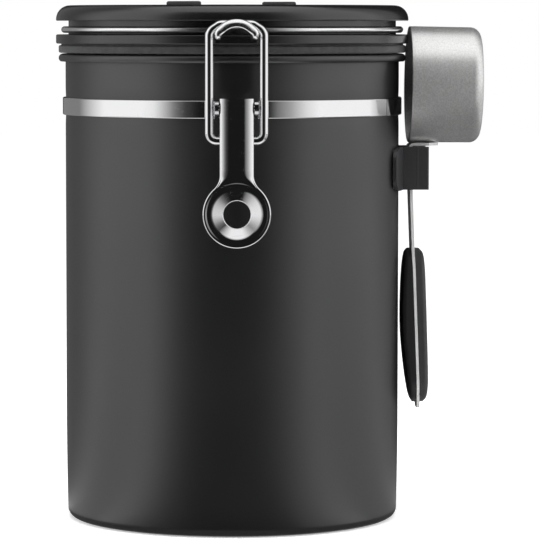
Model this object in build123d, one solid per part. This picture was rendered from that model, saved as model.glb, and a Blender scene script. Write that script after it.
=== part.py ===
from build123d import *
from math import asin, cos, degrees, radians, sin, sqrt, tan
import os

# Coffee canister with a one-way gas valve, in millimetres. +Z is up, the latch faces -Y, the scoop hangs
# at +X and the lid's hinge is at +Y. The origin is the middle of the face that the canister stands on.

# General clearances and helpers
OVERRUN = 2.0          # how far a cutter runs past what it cuts
NEAR = 0.02            # how near an edge must lie to a size to be picked by it
FIXED_FIT = 0.05       # gap between fixed pieces that fit in each other
RUNNING_FIT = 0.06     # radial gap of a pin or hub that turns in a bore
SOFT_GAP = 0.3         # gap between a soft or curved piece and what it rests by

# Drawn steel cup
BODY_R = 58.8
BODY_WALL = 0.6
RIM_TOP_Z = 163.7
CURL_R = 1.5
CURL_TURN = 235.0
BASE_CORNER_R = 3.0
BASE_DRAW_IN = 0.45
DRAW_IN_HEIGHT = 38.0
BASE_BEAD_INSET = 12.8
BASE_BEAD_WIDTH = 5.0
BASE_BEAD_RISE = 0.8

# Steel band round the cup
BAND_THICKNESS = 0.95
BAND_BELOW_RIM = 21.4
BAND_HEIGHT = 6.1
BAND_EDGE_R = 0.25
BAND_SEAM_WIDTH = 0.4
BAND_SEAM_AZIMUTH = -28.0

# Lid mouldings
DOME_OVERHANG = 3.3
DOME_HEIGHT = 5.4
DOME_CORNER_R = 4.9
DOME_SEAT_WIDTH = 7.1
CAP_TOP_WALL = 2.6
CAP_EDGE_R = 0.4
NECK_INSET = 1.1
NECK_WALL = 3.0
NECK_HEIGHT = 4.8
FLANGE_HEIGHT = 3.2
FLANGE_EDGE_R = 0.5
PLUG_WALL_GAP = 1.6
PLUG_DROP = 5.7
LID_FLOOR = 2.2

# Silicone ring under the flange
GASKET_INSET = 0.9
GASKET_HEIGHT = 3.15
GASKET_GROOVE_DEPTH = 0.9
GASKET_GROOVE_HEIGHT = 0.5
GASKET_LIP_WALL = 0.9
GASKET_LIP_DROP = 2.4
GASKET_EDGE_R = 0.5

# Clamp ring wire and its latch hook
RING_WIRE_R = 1.15
RING_RISE = 1.7
RING_NECK_GAP = 0.25
HOOK_WIRE_R = 1.1
HOOK_LEG_X = 6.2
HOOK_DIP = 2.2
HOOK_CREST_RISE = 3.8
HOOK_CREST_HEIGHT = 3.1
HOOK_THICKNESS = 2.0
HOOK_EDGE_R = 0.75
HOOK_BAR_GAP = 0.4

# Latch lever
PIVOT_OUT = 6.2         # in front of the cup's wall
PIVOT_RISE = 3.7        # above the band's lower edge
PIVOT_PIN_R = 1.0
LEVER_HALF_WIDTH = 5.8
LEVER_WALL = 1.0
LEVER_FRONT_DEPTH = 3.5
LEVER_BACK_DEPTH = 2.7
LEVER_TOP_RISE = 3.2
LEVER_NOSE_R = 1.5
FLANGE_TAIL_DROP = 3.0
FLANGE_TAPER = 7.0
PAD_R = 11.5
PAD_DROP = 35.4
PAD_HOLE_R = 4.3
PAD_RING_R = 8.8
PAD_RING_RISE = 1.7
PAD_RING_CREST_SHARE = 0.12
PAD_RING_BULGE = 0.35
PAD_RIM_WIDTH = 0.9
PAD_RIM_RISE = 0.5
NECK_FLARE_R = 6.0

# Wire link between lever and hook
LINK_WIRE_R = 1.5
LINK_OUT = 5.65
LINK_LEG_X = 9.15
LINK_PIN_DROP = 10.95
LINK_BAR_RISE = 1.8
LINK_CORNER_DROP = 2.3
LINK_CORNER_RUN = 3.55
LINK_CORNER_R = 3.0
LINK_FOOT_R = 2.6
LINK_END_REACH = 0.4

# Latch and hinge brackets
BRACKET_THICKNESS = 1.0
EAR_THICKNESS = 1.3
EAR_SIDE_GAP = 0.2
LATCH_EAR_R = 2.7
HINGE_EAR_R = 2.6
HINGE_PLATE_HEIGHT = 12.0
RIVET_R = 1.0
RIVET_HEAD_R = 1.9
RIVET_HEAD_HEIGHT = 0.8
RIVET_X = 3.0
PIN_END_GAP = 0.1

# Back hinge
HINGE_OUT = 7.2
HINGE_RISE = 0.3
HINGE_PIN_R = 1.2
HINGE_PIN_PROUD = 0.5
LEAF_HALF_WIDTH = 6.0
LEAF_THICKNESS = 1.2
LEAF_BARREL_R = 2.4
LEAF_FLANGE_GAP = 0.5
SADDLE_WALL = 0.4

# Valve in the middle of the lid
VALVE_BORE_R = 9.0
HOUSING_FLANGE_R = 12.6
HOUSING_FLANGE_HEIGHT = 1.1
HOUSING_WALL = 1.0
HOUSING_DROP = 3.4
SEAT_DEPTH = 1.6
SEAT_THICKNESS = 1.0
SEAT_HOLE_R = 0.9
SEAT_HOLE_PITCH_R = 4.6
SEAT_HOLES = 6
POST_R = 1.2
POST_HEIGHT = 2.0
DISC_R = 7.2
DISC_THICKNESS = 0.8
DISC_LIFT = 0.8
LIFT_STOP_R = 3.0
SEAL_R = 10.8
SEAL_SECTION = 1.0
SEAL_DEPTH = 0.9
FILTER_THICKNESS = 1.2
RETAINER_THICKNESS = 1.0
RETAINER_HOLE_R = 1.1
RETAINER_INNER_R = 3.0
RETAINER_INNER_HOLES = 5
RETAINER_OUTER_R = 5.9
RETAINER_OUTER_HOLES = 10
HUB_R = 13.0
HUB_BORE_R = 9.6
HUB_SKIRT_R = 10.9
HUB_CAP_R = 15.6
HUB_CAP_HEIGHT = 0.9
HUB_CAP_WALL = 1.0
VENT_WIDTH = 1.2
VENT_LENGTH = 4.0
VENT_MIDDLE_R = 6.2
VENTS = 8

# Date dial and its scale
DIAL_RECESS = 1.4
DIAL_R = 29.0
DIAL_SIDE_GAP = 0.15
DIAL_THICKNESS = 1.2
GRIP_AZIMUTH = 49.0
GRIP_INSET = 2.7
GRIP_LENGTH = 12.0
GRIP_DEPTH = 4.4
GRIP_RISE = 1.45
GRIP_EDGE_R = 0.6
GRIP_GROOVES = 5
GRIP_GROOVE_R = 0.45
POINTER_LENGTH = 4.5
POINTER_WIDTH = 4.0
POINTER_RISE = 0.4
SCALE_DIAL_GAP = 1.5
SCALE_WIDTH = 11.5
SCALE_THICKNESS = 0.8
SCALE_PROUD = 0.05

# Screws between lid base and cap
SCREWS = 4
SCREW_AZIMUTH = 45.0
SCREW_RING_INSET = 5.5
SCREW_R = 1.3
SCREW_HEAD_R = 2.6
SCREW_HEAD_HEIGHT = 1.4
SCREW_REACH = 2.0
SCREW_DRIVE_WIDTH = 0.7
SCREW_DRIVE_DEPTH = 0.7
BOSS_R = 2.6

# Scoop
BOWL_CLIP_RISE = 8.9    # from the clip's middle up to the bowl
SCOOP_RIM_OUT = 3.5
SCOOP_TILT = 0.65
BOWL_R = 20.5
BOWL_TAPER = 0.2
BOWL_DEPTH = 25.6
BOWL_CROWN = 0.5
BOWL_CORNER_R = 3.6
BOWL_WALL = 0.7
STRIP_THICKNESS = 1.0
STRIP_WIDTH = 13.0
STRIP_LEAN = 2.1
STRIP_OUT = 3.95
STRIP_TIP_REACH = 1.9
TAB_REACH = 11.4
TAB_TIP = 4.0
BEND_R = 1.0
HANDLE_GRIP_DROP = 28.5 # below the clip's middle
HANDLE_GRIP_LENGTH = 54.9
HANDLE_GRIP_WIDTH = 17.0
HANDLE_GRIP_INNER = 4.45
HANDLE_GRIP_OUTER = 3.55
HANDLE_GRIP_EDGE_R = 1.2
# Each pair is a share of the grip's length from its top, and a share of its thickness there
INNER_GRIP_SHARES = (
    (0.0, 0.32),
    (0.17, 0.72),
    (0.33, 0.91),
    (0.48, 1.0),
    (0.60, 0.98),
    (0.75, 0.86),
    (0.86, 0.72),
    (0.96, 0.48),
    (1.0, 0.2),
)
OUTER_GRIP_SHARES = (
    (0.0, 0.35),
    (0.06, 0.83),
    (0.18, 0.98),
    (0.30, 1.0),
    (0.47, 0.96),
    (0.70, 0.86),
    (0.86, 0.72),
    (0.94, 0.53),
    (1.0, 0.2),
)
GRIP_RIVET_R = 1.75
GRIP_RIVET_SHARES = (0.24, 0.72)
GRIP_RIVET_REACH_SHARE = 0.86

# Scoop clip
CLIP_BELOW_BAND = 18.9
CLIP_HEIGHT = 15.1
CLIP_PAD = 0.4
CLIP_FOOT = 1.3
CLIP_FOOT_ANGLE = 20.5
CLIP_PAD_ANGLE = 18.5
CLIP_ARM_THICKNESS = 1.7
CLIP_ARM_GAP = 0.3
CLIP_REACH_OUT = 10.3
CLIP_FLOOR_OUT = 2.8
CLIP_BEAD_GAP = 0.05
CLIP_BEAD_R = 1.0
CLIP_BEAD_INSET = 3.4
CLIP_EDGE_R = 0.6

# Places that follow from the sizes above. u is the distance in front of the canister's axis.
BASE_BEAD_R = BODY_R - BASE_BEAD_INSET
BAND_BOTTOM_Z = RIM_TOP_Z - BAND_BELOW_RIM
BAND_R = BODY_R + FIXED_FIT + BAND_THICKNESS
BAND_TOP_Z = BAND_BOTTOM_Z + BAND_HEIGHT
PLATE_R = BAND_R + FIXED_FIT
DOME_R = BODY_R + DOME_OVERHANG
DOME_SEAT_R = DOME_R - DOME_SEAT_WIDTH
NECK_R = BODY_R - NECK_INSET
PLUG_R = BODY_R - BODY_WALL - PLUG_WALL_GAP
GASKET_R = DOME_R - GASKET_INSET
GASKET_BOTTOM_Z = RIM_TOP_Z + SOFT_GAP
FLANGE_BOTTOM_Z = GASKET_BOTTOM_Z + GASKET_HEIGHT + FIXED_FIT
FLANGE_TOP_Z = FLANGE_BOTTOM_Z + FLANGE_HEIGHT
PLUG_BOTTOM_Z = FLANGE_BOTTOM_Z - PLUG_DROP
DOME_BOTTOM_Z = FLANGE_TOP_Z + NECK_HEIGHT
DOME_TOP_Z = DOME_BOTTOM_Z + DOME_HEIGHT
RING_R = NECK_R + RING_NECK_GAP + RING_WIRE_R
RING_Z = FLANGE_TOP_Z + RING_RISE
PIVOT_U = BODY_R + PIVOT_OUT
PIVOT_Z = BAND_BOTTOM_Z + PIVOT_RISE
LINK_U = BODY_R + LINK_OUT
LINK_PIN_Z = PIVOT_Z - LINK_PIN_DROP
LINK_BAR_Z = RING_Z + LINK_BAR_RISE
HOOK_CREST_Z = RING_Z + HOOK_CREST_RISE
HOOK_BACK_U = LINK_U + LINK_WIRE_R + HOOK_BAR_GAP
LEVER_FRONT_U = PIVOT_U + LEVER_FRONT_DEPTH
PAD_Z = PIVOT_Z - PAD_DROP
EAR_INNER_X = LEVER_HALF_WIDTH + EAR_SIDE_GAP
EAR_OUTER_X = EAR_INNER_X + EAR_THICKNESS
HINGE_Y = BODY_R + HINGE_OUT
HINGE_Z = RIM_TOP_Z + HINGE_RISE
HINGE_EAR_X = LEAF_HALF_WIDTH + EAR_SIDE_GAP
LID_FLOOR_BOTTOM_Z = DOME_BOTTOM_Z - LID_FLOOR
SEAT_TOP_Z = DOME_BOTTOM_Z - SEAT_DEPTH
SEAT_BOTTOM_Z = SEAT_TOP_Z - SEAT_THICKNESS
DIAL_FLOOR_Z = DOME_TOP_Z - DIAL_RECESS
DIAL_TOP_Z = DIAL_FLOOR_Z + DIAL_SIDE_GAP + DIAL_THICKNESS
GRIP_RING_R = DIAL_R - GRIP_INSET
SCALE_INNER_R = DIAL_R + SCALE_DIAL_GAP
SCALE_OUTER_R = SCALE_INNER_R + SCALE_WIDTH
SCREW_RING_R = DOME_SEAT_R - SCREW_RING_INSET
CLIP_MIDDLE_Z = BAND_BOTTOM_Z - CLIP_BELOW_BAND
CLIP_REACH = BODY_R + CLIP_REACH_OUT
CLIP_FLOOR_X = BODY_R + CLIP_FLOOR_OUT
CLIP_BEAD_X = CLIP_FLOOR_X + CLIP_BEAD_INSET
FOOT_INNER_R = BODY_R + CLIP_PAD + FIXED_FIT
FOOT_OUTER_R = FOOT_INNER_R + CLIP_FOOT
SCOOP_AXIS_Z = CLIP_MIDDLE_Z + BOWL_CLIP_RISE + BOWL_R
SCOOP_RIM_X = BODY_R + SCOOP_RIM_OUT
STRIP_CLIP_X = BODY_R + STRIP_OUT
HANDLE_GRIP_TOP_Z = CLIP_MIDDLE_Z - HANDLE_GRIP_DROP
HANDLE_GRIP_BOTTOM_Z = HANDLE_GRIP_TOP_Z - HANDLE_GRIP_LENGTH
STRIP_TIP_Z = HANDLE_GRIP_BOTTOM_Z - STRIP_TIP_REACH


def outline(points, radii=()):
    """Flat face on corner points, with the listed corners rounded by their radii."""
    face = make_face(Polyline(*points, close=True))
    for index, radius in radii:
        corner = face.vertices().sort_by_distance((*points[index], 0))[0]
        face = fillet(corner, radius)
    return face


def turned(face):
    """Solid of revolution about +Z of a face drawn in radius and height."""
    return revolve(Plane.XZ * face, Axis.Z)


def hoop(inner, outer, bottom, top):
    """Plain ring about +Z."""
    return turned(outline([(inner, bottom), (outer, bottom), (outer, top), (inner, top)]))


def rod(radius, start, end):
    """Round bar between two points."""
    along = Vector(*end) - Vector(*start)
    return extrude(Plane(origin=start, z_dir=along) * Circle(radius), along.length)


def wire_along(radius, path):
    """Round wire swept along a path."""
    return sweep(Plane(origin=path @ 0, z_dir=path % 0) * Circle(radius), path=path)


def across(face, low, high):
    """Solid from a face drawn in y and z, from x = low to x = high."""
    return extrude(Plane.YZ.offset(low) * face, high - low)


def at_front(points):
    """Points given in u and z, turned into y and z."""
    return [(-u, z) for u, z in points]


def sector(inner, outer, bottom, top, azimuth, half_angle):
    """Part of a ring about +Z, centred on an azimuth in degrees."""
    face = outline([(inner, bottom), (outer, bottom), (outer, top), (inner, top)])
    return Rot(0, 0, azimuth - half_angle) * revolve(Plane.XZ * face, Axis.Z, 2 * half_angle)


def cup_section(inset):
    """Half section of the cup, drawn in by inset from its outer face."""
    side = BODY_R - inset
    foot = side - BASE_DRAW_IN
    corner = BASE_CORNER_R - inset
    bead_start = (BASE_BEAD_R - BASE_BEAD_WIDTH / 2, inset)
    bead_end = (BASE_BEAD_R + BASE_BEAD_WIDTH / 2, inset)
    curl_z = RIM_TOP_Z - CURL_R
    return make_face(
        [
            Line((0, inset), bead_start),
            ThreePointArc(bead_start, (BASE_BEAD_R, BASE_BEAD_RISE + inset), bead_end),
            Line(bead_end, (foot - corner, inset)),
            TangentArc((foot - corner, inset), (foot, BASE_CORNER_R), tangent=(1, 0)),
            TangentArc((side, DRAW_IN_HEIGHT), (foot, BASE_CORNER_R), tangent=(0, -1)),
            Line((side, DRAW_IN_HEIGHT), (side, curl_z)),
            Line((side, curl_z), (0, curl_z)),
            Line((0, curl_z), (0, inset)),
        ]
    )


def rolled_rim():
    """Rim of the cup, rolled outwards and down."""
    middle = (BODY_R - BODY_WALL + CURL_R, RIM_TOP_Z - CURL_R)
    outer = CenterArc(middle, CURL_R, 180, -CURL_TURN)
    inner = CenterArc(middle, CURL_R - BODY_WALL, 180, -CURL_TURN)
    return turned(make_face([outer, inner, Line(outer @ 0, inner @ 0), Line(outer @ 1, inner @ 1)]))


def canister_shell():
    return turned(cup_section(0)) - turned(cup_section(BODY_WALL)) + rolled_rim()


def rivet_places(centre_z):
    """Inner ends of two rivet axes at the front of the band."""
    return [(side * RIVET_X, -BODY_R - FIXED_FIT, centre_z) for side in (-1, 1)]


def rivet_holes(centre_z):
    """Cutters for the rivets' holes in plate and band."""
    reach = BRACKET_THICKNESS + BAND_THICKNESS + OVERRUN
    return [
        rod(RIVET_R + FIXED_FIT, (x, y + OVERRUN, z), (x, y - reach, z))
        for x, y, z in rivet_places(centre_z)
    ]


def rivets(centre_z):
    """Two rivets with domed heads on the plate."""
    head_y = -PLATE_R - BRACKET_THICKNESS
    solids = []
    for x, y, z in rivet_places(centre_z):
        shank = rod(RIVET_R, (x, y - FIXED_FIT, z), (x, head_y - FIXED_FIT, z))
        head = rod(RIVET_HEAD_R, (x, head_y - FIXED_FIT, z), (x, head_y - RIVET_HEAD_HEIGHT, z))
        rim = head.edges().sort_by(Axis.Y)[0]
        solids.append(shank + fillet(rim, RIVET_HEAD_HEIGHT / 2))
    return solids


def body_band():
    band = turned(
        outline(
            [
                (BODY_R + FIXED_FIT, BAND_BOTTOM_Z),
                (BAND_R, BAND_BOTTOM_Z),
                (BAND_R, BAND_TOP_Z),
                (BODY_R + FIXED_FIT, BAND_TOP_Z),
            ],
            [(1, BAND_EDGE_R), (2, BAND_EDGE_R)],
        )
    )
    middle_z = BAND_BOTTOM_Z + BAND_HEIGHT / 2
    seam = Box(BAND_THICKNESS + OVERRUN, BAND_SEAM_WIDTH, BAND_HEIGHT + OVERRUN)
    band -= Rot(0, 0, BAND_SEAM_AZIMUTH) * Pos(BAND_R, 0, middle_z) * seam
    for hole in rivet_holes(middle_z):
        band -= hole
        band -= Rot(0, 0, 180) * hole
    return band


def bracket(plate_top_z, pin_u, pin_z, ear_r, ear_x, pin_r):
    """Curved plate on the front of the band, with two ears round a pin."""
    ear_outer = ear_x + EAR_THICKNESS
    half_angle = degrees(asin(ear_outer / (PLATE_R + BRACKET_THICKNESS)))
    plate = sector(PLATE_R, PLATE_R + BRACKET_THICKNESS, BAND_BOTTOM_Z, plate_top_z, -90, half_angle)
    root_u = sqrt(PLATE_R**2 - ear_outer**2) + FIXED_FIT
    root = outline(
        at_front(
            [
                (root_u, BAND_BOTTOM_Z),
                (root_u + BRACKET_THICKNESS, BAND_BOTTOM_Z),
                (root_u + BRACKET_THICKNESS, plate_top_z),
                (root_u, plate_top_z),
            ]
        )
    )
    end = Pos(-pin_u, pin_z) * Circle(ear_r)
    side = make_hull(root.edges() + end.edges()) - Pos(-pin_u, pin_z) * Circle(pin_r)
    ears = across(side, ear_x, ear_outer) + across(side, -ear_outer, -ear_x)
    inside = Cylinder(PLATE_R, 2 * RIM_TOP_Z)
    return plate + (ears - inside)


def latch_bracket():
    piece = bracket(BAND_TOP_Z, PIVOT_U, PIVOT_Z, LATCH_EAR_R, EAR_INNER_X, PIVOT_PIN_R + FIXED_FIT)
    for hole in rivet_holes(BAND_BOTTOM_Z + BAND_HEIGHT / 2):
        piece -= hole
    return piece


def hinge_bracket():
    top_z = BAND_BOTTOM_Z + HINGE_PLATE_HEIGHT
    piece = bracket(top_z, HINGE_Y, HINGE_Z, HINGE_EAR_R, HINGE_EAR_X, HINGE_PIN_R + FIXED_FIT)
    for hole in rivet_holes(BAND_BOTTOM_Z + BAND_HEIGHT / 2):
        piece -= hole
    return Rot(0, 0, 180) * piece


def headed_pin(radius, half_length, y, z):
    """Pin along X with softly rounded ends."""
    pin = rod(radius, (-half_length, y, z), (half_length, y, z))
    return fillet(pin.edges().filter_by(GeomType.CIRCLE), radius / 4)


def lever_side():
    """Side outline of the lever's channel in y and z."""
    back = PIVOT_U - LEVER_BACK_DEPTH
    top = PIVOT_Z + LEVER_TOP_RISE
    tail = LINK_PIN_Z - FLANGE_TAIL_DROP
    front_back = LEVER_FRONT_U - LEVER_WALL
    points = [
        (back, tail),
        (back, top),
        (LEVER_FRONT_U, top),
        (LEVER_FRONT_U, tail - FLANGE_TAPER),
        (front_back, tail - FLANGE_TAPER),
    ]
    return outline(at_front(points), [(0, LINK_WIRE_R), (1, LEVER_BACK_DEPTH), (2, LEVER_WALL)])


def lever_channel():
    """Folded channel between the pivot and the handle."""
    top = PIVOT_Z + LEVER_TOP_RISE + OVERRUN
    bottom = LINK_PIN_Z - FLANGE_TAIL_DROP - FLANGE_TAPER
    back = PIVOT_U - LEVER_BACK_DEPTH - OVERRUN
    outside = outline(
        [
            (-LEVER_HALF_WIDTH, -back),
            (LEVER_HALF_WIDTH, -back),
            (LEVER_HALF_WIDTH, -LEVER_FRONT_U),
            (-LEVER_HALF_WIDTH, -LEVER_FRONT_U),
        ],
        [(2, LEVER_NOSE_R + LEVER_WALL), (3, LEVER_NOSE_R + LEVER_WALL)],
    )
    inner_x = LEVER_HALF_WIDTH - LEVER_WALL
    inside = outline(
        [
            (-inner_x, OVERRUN - back),
            (inner_x, OVERRUN - back),
            (inner_x, LEVER_WALL - LEVER_FRONT_U),
            (-inner_x, LEVER_WALL - LEVER_FRONT_U),
        ],
        [(2, LEVER_NOSE_R), (3, LEVER_NOSE_R)],
    )
    section = outside - inside
    channel = extrude(Plane.XY.offset(bottom) * section, top - bottom)
    return channel & across(lever_side(), -LEVER_HALF_WIDTH, LEVER_HALF_WIDTH)


def lever_handle():
    """Flat handle that widens into the round finger pad."""
    height = LINK_PIN_Z - PAD_Z
    neck = Pos(0, PAD_Z + height / 2) * Rectangle(2 * LEVER_HALF_WIDTH, height)
    face = neck + Pos(0, PAD_Z) * Circle(PAD_R)
    meeting_z = PAD_Z + sqrt(PAD_R**2 - LEVER_HALF_WIDTH**2)
    for side in (-1, 1):
        corner = face.vertices().sort_by_distance((side * LEVER_HALF_WIDTH, meeting_z, 0))[0]
        face = fillet(corner, NECK_FLARE_R)
    return extrude(Plane.XZ.offset(LEVER_FRONT_U - LEVER_WALL) * face, LEVER_WALL)


def pad_relief():
    """Raised finger ring and rolled rim of the pad, turned about its own axis."""
    crest = PAD_HOLE_R + (PAD_RING_R - PAD_HOLE_R) * PAD_RING_CREST_SHARE
    ring = make_face(
        [
            ThreePointArc(
                (PAD_HOLE_R, 0),
                (PAD_HOLE_R + (crest - PAD_HOLE_R) / 4, PAD_RING_RISE * 3 / 4),
                (crest, PAD_RING_RISE),
            ),
            ThreePointArc(
                (crest, PAD_RING_RISE),
                ((crest + PAD_RING_R) / 2, PAD_RING_RISE / 2 + PAD_RING_BULGE),
                (PAD_RING_R, 0),
            ),
            Line((PAD_RING_R, 0), (PAD_HOLE_R, 0)),
        ]
    )
    inner = PAD_R - PAD_RIM_WIDTH
    rim = make_face(
        [
            ThreePointArc((inner, 0), (inner + PAD_RIM_WIDTH / 2, PAD_RIM_RISE), (PAD_R, 0)),
            Line((PAD_R, 0), (inner, 0)),
        ]
    )
    relief = turned(ring) + turned(rim)
    return Pos(0, -LEVER_FRONT_U, PAD_Z) * Rot(90, 0, 0) * relief


def latch_lever():
    lever = lever_channel() + lever_handle() + pad_relief()
    hole_end = LEVER_FRONT_U + PAD_RING_RISE + OVERRUN
    lever -= rod(PAD_HOLE_R, (0, OVERRUN - LEVER_FRONT_U, PAD_Z), (0, -hole_end, PAD_Z))
    reach = LEVER_HALF_WIDTH + OVERRUN
    for radius, u, z in (
        (PIVOT_PIN_R + RUNNING_FIT, PIVOT_U, PIVOT_Z),
        (LINK_WIRE_R + RUNNING_FIT, LINK_U, LINK_PIN_Z),
    ):
        lever -= rod(radius, (-reach, -u, z), (reach, -u, z))
    return lever


def latch_link():
    corner_z = LINK_BAR_Z - LINK_CORNER_DROP
    bar_x = LINK_LEG_X - LINK_CORNER_RUN
    end_x = LEVER_HALF_WIDTH - LEVER_WALL - LINK_END_REACH
    half = [(end_x, LINK_PIN_Z), (LINK_LEG_X, LINK_PIN_Z), (LINK_LEG_X, corner_z), (bar_x, LINK_BAR_Z)]
    points = [(x, -LINK_U, z) for x, z in half] + [(-x, -LINK_U, z) for x, z in reversed(half)]
    bends = [LINK_FOOT_R, LINK_CORNER_R, LINK_CORNER_R]
    return wire_along(LINK_WIRE_R, FilletPolyline(*points, radius=bends + bends[::-1]))


def hook_leg(side):
    """Wire leg from the ring, over the flange and under the link's bar, to the hook's arch."""
    x = side * HOOK_LEG_X
    ring_u = sqrt(RING_R**2 - HOOK_LEG_X**2)
    low_z = RING_Z - HOOK_DIP
    front_u = HOOK_BACK_U + HOOK_THICKNESS / 2
    path = FilletPolyline(
        (x, -ring_u, RING_Z),
        (x, -DOME_R, FLANGE_TOP_Z + HOOK_WIRE_R + FIXED_FIT),
        (x, -LINK_U, low_z),
        (x, -front_u, low_z),
        (x, -front_u, low_z + HOOK_CREST_HEIGHT / 2),
        radius=[HOOK_WIRE_R, HOOK_WIRE_R, HOOK_WIRE_R + FIXED_FIT],
    )
    elbow = Pos(x, -ring_u, RING_Z) * Sphere(RING_WIRE_R)
    return wire_along(HOOK_WIRE_R, path) + elbow


def hook_arch():
    """Flattened arch that stands in front of the link's bar."""
    low_z = RING_Z - HOOK_DIP
    outer_x = HOOK_LEG_X + HOOK_WIRE_R
    inner_x = HOOK_LEG_X - HOOK_WIRE_R
    outer = ThreePointArc((-outer_x, low_z), (0, HOOK_CREST_Z), (outer_x, low_z))
    inner = ThreePointArc((-inner_x, low_z), (0, HOOK_CREST_Z - HOOK_CREST_HEIGHT), (inner_x, low_z))
    face = make_face([outer, inner, Line(outer @ 0, inner @ 0), Line(outer @ 1, inner @ 1)])
    arch = extrude(Plane.XZ.offset(HOOK_BACK_U) * face, HOOK_THICKNESS)
    long_edges = arch.edges().filter_by(GeomType.CIRCLE)
    return fillet(long_edges, HOOK_EDGE_R)


def clamp_ring():
    open_angle = degrees(asin(HOOK_LEG_X / RING_R))
    section = Plane.XZ * (Pos(RING_R, RING_Z) * Circle(RING_WIRE_R))
    ring = Rot(0, 0, open_angle - 90) * revolve(section, Axis.Z, 360 - 2 * open_angle)
    return ring + hook_leg(-1) + hook_leg(1) + hook_arch()


def ring_cutter():
    """Clamp ring wire with a fixed fit round it."""
    return turned(Pos(RING_R, RING_Z) * Circle(RING_WIRE_R + FIXED_FIT))


def hinge_leaf():
    half = LEAF_HALF_WIDTH
    top_z = RING_Z + RING_WIRE_R + SADDLE_WALL
    bottom_z = FLANGE_TOP_Z + FIXED_FIT
    inner_y = RING_R - RING_WIRE_R / 2
    plate_y = DOME_R + LEAF_FLANGE_GAP
    outer_y = plate_y + LEAF_THICKNESS
    profile = outline(
        [
            (inner_y, bottom_z),
            (plate_y, bottom_z),
            (plate_y, HINGE_Z),
            (outer_y, HINGE_Z),
            (outer_y, top_z),
            (inner_y, top_z),
        ],
        [(4, LEAF_THICKNESS)],
    )
    barrel = rod(LEAF_BARREL_R, (-half, HINGE_Y, HINGE_Z), (half, HINGE_Y, HINGE_Z))
    reach = half + OVERRUN
    pin_hole = rod(HINGE_PIN_R + RUNNING_FIT, (-reach, HINGE_Y, HINGE_Z), (reach, HINGE_Y, HINGE_Z))
    return across(profile, -half, half) + barrel - pin_hole - ring_cutter()


def screw_places():
    """Azimuths of the lid screws, clear of latch and hinge."""
    return [SCREW_AZIMUTH + 360 * index / SCREWS for index in range(SCREWS)]


def lid_cap():
    pocket_top = DOME_TOP_Z - CAP_TOP_WALL
    shell = turned(
        outline(
            [
                (HUB_SKIRT_R + FIXED_FIT, DOME_TOP_Z),
                (DOME_R, DOME_TOP_Z),
                (DOME_R, DOME_BOTTOM_Z),
                (DOME_SEAT_R, DOME_BOTTOM_Z),
                (DOME_SEAT_R, pocket_top),
                (HUB_SKIRT_R + FIXED_FIT, pocket_top),
            ],
            [(1, DOME_CORNER_R), (2, CAP_EDGE_R)],
        )
    )
    for azimuth in screw_places():
        boss = Pos(SCREW_RING_R, 0, pocket_top + OVERRUN / 2) * Cylinder(
            BOSS_R, pocket_top - DOME_BOTTOM_Z + OVERRUN / 2, align=(Align.CENTER, Align.CENTER, Align.MAX)
        )
        hole = Pos(SCREW_RING_R, 0, DOME_BOTTOM_Z) * Cylinder(
            SCREW_R + FIXED_FIT, SCREW_REACH + FIXED_FIT, align=(Align.CENTER, Align.CENTER, Align.MIN)
        )
        shell = shell + Rot(0, 0, azimuth) * boss - Rot(0, 0, azimuth) * hole
    dial_room = hoop(0, DIAL_R + DIAL_SIDE_GAP, DIAL_FLOOR_Z, DOME_TOP_Z + OVERRUN)
    scale_floor = DOME_TOP_Z - SCALE_THICKNESS
    scale_room = hoop(
        SCALE_INNER_R - FIXED_FIT, SCALE_OUTER_R + FIXED_FIT, scale_floor, DOME_TOP_Z + OVERRUN
    )
    return shell - dial_room - scale_room


def lid_base():
    inner = NECK_R - NECK_WALL
    base = turned(
        outline(
            [
                (VALVE_BORE_R, DOME_BOTTOM_Z),
                (NECK_R, DOME_BOTTOM_Z),
                (NECK_R, FLANGE_TOP_Z),
                (DOME_R, FLANGE_TOP_Z),
                (DOME_R, FLANGE_BOTTOM_Z),
                (PLUG_R, FLANGE_BOTTOM_Z),
                (PLUG_R, PLUG_BOTTOM_Z),
                (inner, PLUG_BOTTOM_Z),
                (inner, LID_FLOOR_BOTTOM_Z),
                (VALVE_BORE_R, LID_FLOOR_BOTTOM_Z),
            ],
            [(3, FLANGE_EDGE_R), (4, FLANGE_EDGE_R), (6, FLANGE_EDGE_R), (8, FLANGE_EDGE_R)],
        )
    )
    base -= hoop(
        SEAL_R - SEAL_SECTION - FIXED_FIT, SEAL_R + FIXED_FIT, DOME_BOTTOM_Z - SEAL_DEPTH, DOME_TOP_Z
    )
    for azimuth in screw_places():
        place = Rot(0, 0, azimuth) * Pos(SCREW_RING_R, 0, LID_FLOOR_BOTTOM_Z)
        base -= place * Cylinder(SCREW_R + FIXED_FIT, 3 * LID_FLOOR)
    return base


def lid_gasket():
    top = FLANGE_BOTTOM_Z - FIXED_FIT
    bottom = GASKET_BOTTOM_Z
    inner = PLUG_R + FIXED_FIT
    lip = inner + GASKET_LIP_WALL
    groove_r = GASKET_R - GASKET_GROOVE_DEPTH
    return turned(
        outline(
            [
                (inner, top),
                (groove_r, top),
                (groove_r, top - GASKET_GROOVE_HEIGHT),
                (GASKET_R, top - GASKET_GROOVE_HEIGHT),
                (GASKET_R, bottom),
                (lip, bottom),
                (lip, bottom - GASKET_LIP_DROP),
                (inner, bottom - GASKET_LIP_DROP),
            ],
            [(3, GASKET_EDGE_R), (4, GASKET_EDGE_R), (6, GASKET_LIP_WALL / 2)],
        )
    )


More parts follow.
